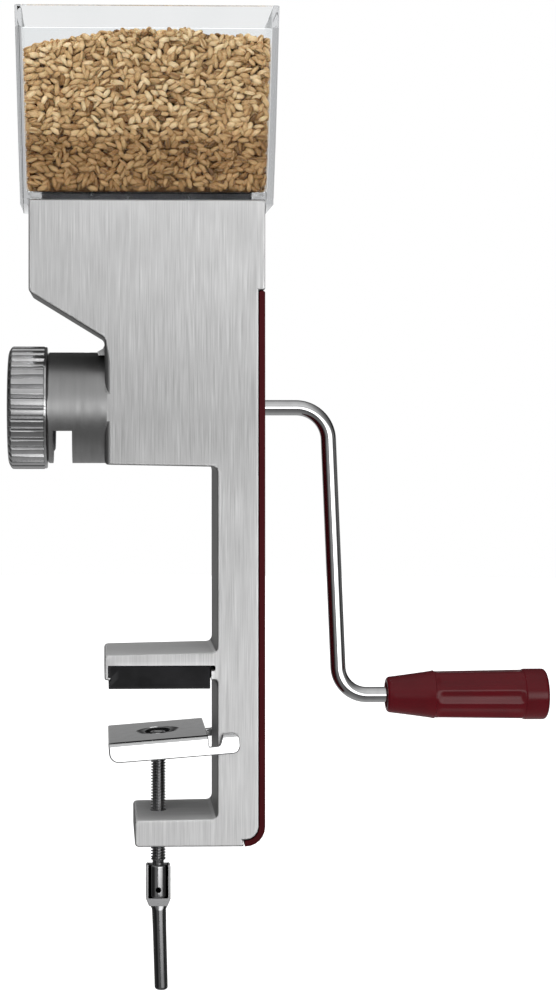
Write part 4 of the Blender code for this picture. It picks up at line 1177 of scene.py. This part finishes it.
def build_wheat(look, rim):
    """Kernels in layers against the four walls and on top of the heap, with a core behind them."""
    form = HopperForm
    rng = np.random.default_rng(SEED)
    clear = 0.25 * MM
    pitch = 3.65 * MM
    bottom = form.ledge + 0.6 * MM
    layers = (0.0, 1.9 * MM, 3.8 * MM)
    long = 2 * form.half_width[1]
    deep = 2 * form.half_depth[1]

    def half_width(z):
        return form.width_at(z) - form.wall - clear

    def half_depth(z):
        return form.depth_at(z) - form.wall - clear

    def lay_wall(bed, normal, width, depths, place_on, margins):
        """Layers of kernels on one upright wall; margins keep them off the walls beside it."""
        for depth in depths:
            spots = []
            for u, v in hex_grid(width, form.top - bottom, pitch, rng):
                z = bottom + 1.4 * MM + v
                x, y = place_on(u, z, depth)
                inside = abs(x - form.middle_x) < half_width(z) - margins[0]
                inside = inside and abs(y) < half_depth(z) - margins[1]
                if inside and z < heap_height(x, y) - 1.2 * MM:
                    spots.append((x, y, z))
            # Each deeper layer is darker: painted shade
            bed.lay(spots, normal, math.radians(28), 1.0 - 0.13 * depth / MM)

    def lay_top(bed):
        for depth in (2.4 * MM, 0.0):
            spots = []
            for u, v in hex_grid(long, deep, pitch, rng):
                x = form.middle_x - long / 2 + u
                y = v - deep / 2
                z = heap_height(x, y) - depth + rng.uniform(-0.8, 0.6) * MM
                if abs(y) < half_depth(z) - 1.8 * MM and abs(x - form.middle_x) < half_width(z) - 1.8 * MM:
                    spots.append((x, y, z))
            bed.lay(spots, (0.0, 0.0, 1.0), math.radians(30))

    width = 2 * half_width(form.top)
    for name, sign, depths in (("wheat_front", -1, layers), ("wheat_back", 1, layers[:2])):

        def on_long_wall(u, z, depth):
            return form.middle_x - width / 2 + u, sign * (half_depth(z) - depth)

        bed = KernelBed(rng)
        lay_wall(bed, (0.0, sign, 0.0), width, depths, on_long_wall, (1.6 * MM, -1.0))
        bed.mesh(name, look)
    bed = KernelBed(rng)
    for sign in (-1, 1):

        def on_short_wall(u, z, depth):
            return form.middle_x + sign * (half_width(z) - depth), u - deep / 2

        lay_wall(bed, (sign, 0.0, 0.0), deep, layers[:2], on_short_wall, (-1.0, 4.0 * MM))
    lay_top(bed)
    bed.mesh("wheat_ends_and_top", look)
    build_wheat_core(look, rim)


def build_wheat_core(look, rim):
    """What lies behind the outer kernels: a lumpy heap that fills the hopper and the inlet, in the darkest tone as
    painted shade.
    """
    form = HopperForm
    inset = form.wall + 4.6 * MM
    heights = [form.ledge + 0.4 * MM, 262 * MM, 272 * MM, form.knee, 295 * MM, 308 * MM, 320 * MM]
    rings = [
        form.inlet_ring(form.floor - 2.0 * MM, -0.6 * MM, sides=form.bore_x),
        form.inlet_ring(form.floor - 0.1 * MM, -0.6 * MM, sides=form.bore_x),
        form.inlet_ring(form.floor + 0.1 * MM, -0.2 * MM),
        form.inlet_ring(form.ledge + 0.2 * MM, -0.2 * MM),
    ]
    rings += [form.ring(z, inset, 1.5 * MM) for z in heights]
    for shrink, drop in ((0.0, 4.4), (12.0, 4.0), (20.0, 4.0)):
        flat = form.ring(322 * MM, inset + shrink * MM, 1.0 * MM)
        rings.append([(x, y, heap_height(x, y) - drop * MM) for x, y, _ in flat])
    core = loft("wheat_core", rings, look)
    # Painted shade: the core takes the darkest bran tone, the shade between and behind the kernels
    store_tone_and_shade(core, np.full(len(core.data.vertices), 0.04))
    core.data.shade_smooth()
    core.data.materials.append(rim)
    for face in core.data.polygons:
        if face.center.z < form.ledge + 0.15 * MM and abs(face.normal.z) < 0.5:
            face.material_index = 1
    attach(core, "hopper")


# Remaining CAD nodes, seen only through the outlet or the clear hopper


def build_end_plate(look):
    """Dark plate that closes the barrel's left end, seen through the outlet."""
    low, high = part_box("end_plate")
    reach = high.z - AXIS_Z
    profile = [
        (low.x, 7.2 * MM),
        (low.x, reach - 0.5 * MM),
        (low.x + 0.5 * MM, reach),
        (high.x + 0.5 * MM, reach),
        (high.x + 1.3 * MM, reach - 1.2 * MM),
        (high.x + 1.3 * MM, 7.2 * MM),
    ]
    build_small_turned("end_plate", "X", profile, (0.0, AXIS_Z), look, closed=True)


def finish_inner_nodes(looks):
    """Materials of the CAD nodes that are shown as they are; those not named here are plain steel."""
    own_looks = {"outer_burr": "burr", "inner_burr": "burr", "right_bush": "bronze", "thrust_ball": "chrome"}
    for node in (
        "outer_burr", "outer_burr_pin", "right_bush", "burr_spring", "thrust_plug", "thrust_ball",
        "drive_shaft", "feed_screw", "feed_screw_pin", "inner_burr", "burr_drive_pin", "crank_grub_screw",
        "grip_circlip",
    ):
        data = frame["nodes"][node].data
        data.materials.clear()
        data.materials.append(looks[own_looks.get(node, "steel")])


# Studio


def build_floor():
    """Wide pale disc under the mill."""
    nodes = Nodes("studio_floor")
    cloudy = nodes.noise(None, 3.0, detail=2.0)
    tone = nodes.ramp(cloudy, [(0.3, (0.90, 0.90, 0.90)), (0.7, (0.93, 0.93, 0.93))])
    rough = nodes.ramp(cloudy, [(0.3, 0.85), (0.7, 0.95)])
    gradient = nodes.new("TexGradient", Vector=nodes.stretch((0.5, 0.5, 0.0)))
    gradient.gradient_type = "SPHERICAL"
    glow = nodes.ramp(nodes.math("SUBTRACT", 1.0, gradient.outputs["Fac"]), FLOOR_GLOW)
    nodes.feed(Base_Color=tone, Roughness=rough, Emission_Color=glow, Emission_Strength=1.0)
    under = FLOOR_Z - 4 * MM
    rows = [(under, 3.0), (under, 3.2), (FLOOR_Z, 3.2), (FLOOR_Z, 0.01)]
    floor = loft("floor", rings_about("Z", rows, 96), nodes.material)
    floor.visible_glossy = False


def build_world():
    """White behind the mill; for what the metal reflects, a soft room with panels in front."""
    world = bpy.data.worlds.new("studio")
    bpy.context.scene.world = world
    world.use_nodes = True
    nodes = Nodes(tree=world.node_tree)
    x, y, z = nodes.split(nodes.coordinates.node.outputs["Generated"])
    ahead = nodes.math("MULTIPLY", y, -1.0)
    over_share = nodes.math("MULTIPLY_ADD", nodes.math("ARCTAN2", z, ahead), 0.5 / math.pi, 0.5)
    around = nodes.math("ARCTAN2", x, ahead)
    elevation = nodes.math("ARCSINE", z)
    room = nodes.ramp(over_share, [((angle + 180) / 360, tone) for angle, tone in STUDIO_ROUND])
    side = nodes.ramp(nodes.math("ABSOLUTE", x), STUDIO_SIDE)
    studio = nodes.mix(1.0, room, side, "MULTIPLY")
    for azimuths, elevations, soft, strength in STUDIO_PANELS:
        across = nodes.window(around, azimuths, soft[:2])
        upward = nodes.window(elevation, elevations, soft[2:])
        panel = nodes.math("MULTIPLY", nodes.math("MULTIPLY", across, upward), strength)
        studio = nodes.mix(1.0, studio, panel, "ADD")
    through = nodes.ramp(nodes.math("MULTIPLY_ADD", z, 0.5, 0.5), STUDIO_THROUGH)
    path = nodes.new("LightPath").outputs
    seen = nodes.mix(path["Is Transmission Ray"], studio, through)
    colour = nodes.mix(path["Is Camera Ray"], seen, (1.0, 1.0, 1.0))
    nodes.link(colour, nodes.tree.nodes["Background"].inputs["Color"])


def build_light(name, place, target, size, power):
    """Soft light that lights matt surfaces; the metal reflects the studio instead."""
    data = bpy.data.lights.new(name, "AREA")
    data.shape = "RECTANGLE"
    data.size, data.size_y = size
    data.energy = power
    light = new_object(name, data)
    light.location = place
    light.rotation_euler = (Vector(target) - Vector(place)).to_track_quat("-Z", "Y").to_euler()
    light.visible_glossy = False
    light.visible_camera = False


def build_camera():
    data = bpy.data.cameras.new("camera")
    data.lens = CAMERA_LENS
    data.sensor_width = 36.0
    data.shift_x, data.shift_y = CAMERA_SHIFT
    data.clip_start = 0.05
    data.clip_end = 50.0
    camera = new_object("camera", data)
    camera.location = CAMERA_PLACE
    camera.rotation_euler = (math.radians(90), 0.0, -CAMERA_YAW)
    bpy.context.scene.camera = camera


def build_studio():
    build_floor()
    build_world()
    build_light("front_light", (-0.5, -1.6, 0.7), (0.0, 0.0, 0.1), (1.6, 1.6), 13.0)
    build_light("top_light", (-0.1, -0.15, 1.6), (0.0, 0.0, 0.0), (1.6, 1.6), 20.0)
    build_camera()
    scene = bpy.context.scene
    scene.view_settings.view_transform = "Standard"
    scene.view_settings.look = "None"
    scene.view_settings.exposure = 0.0
    scene.view_settings.gamma = 1.0


def build_mill():
    looks = make_materials()
    build_body(looks)
    build_adjuster_ring(looks["ring"])
    build_crank_rod(looks["chrome"])
    build_grip(looks["red"])
    build_clamp(looks)
    build_hopper(looks["clear"])
    build_wheat(looks["wheat"], looks["rim"])
    build_end_plate(looks["burr"])
    finish_inner_nodes(looks)


build_mill()
build_studio()
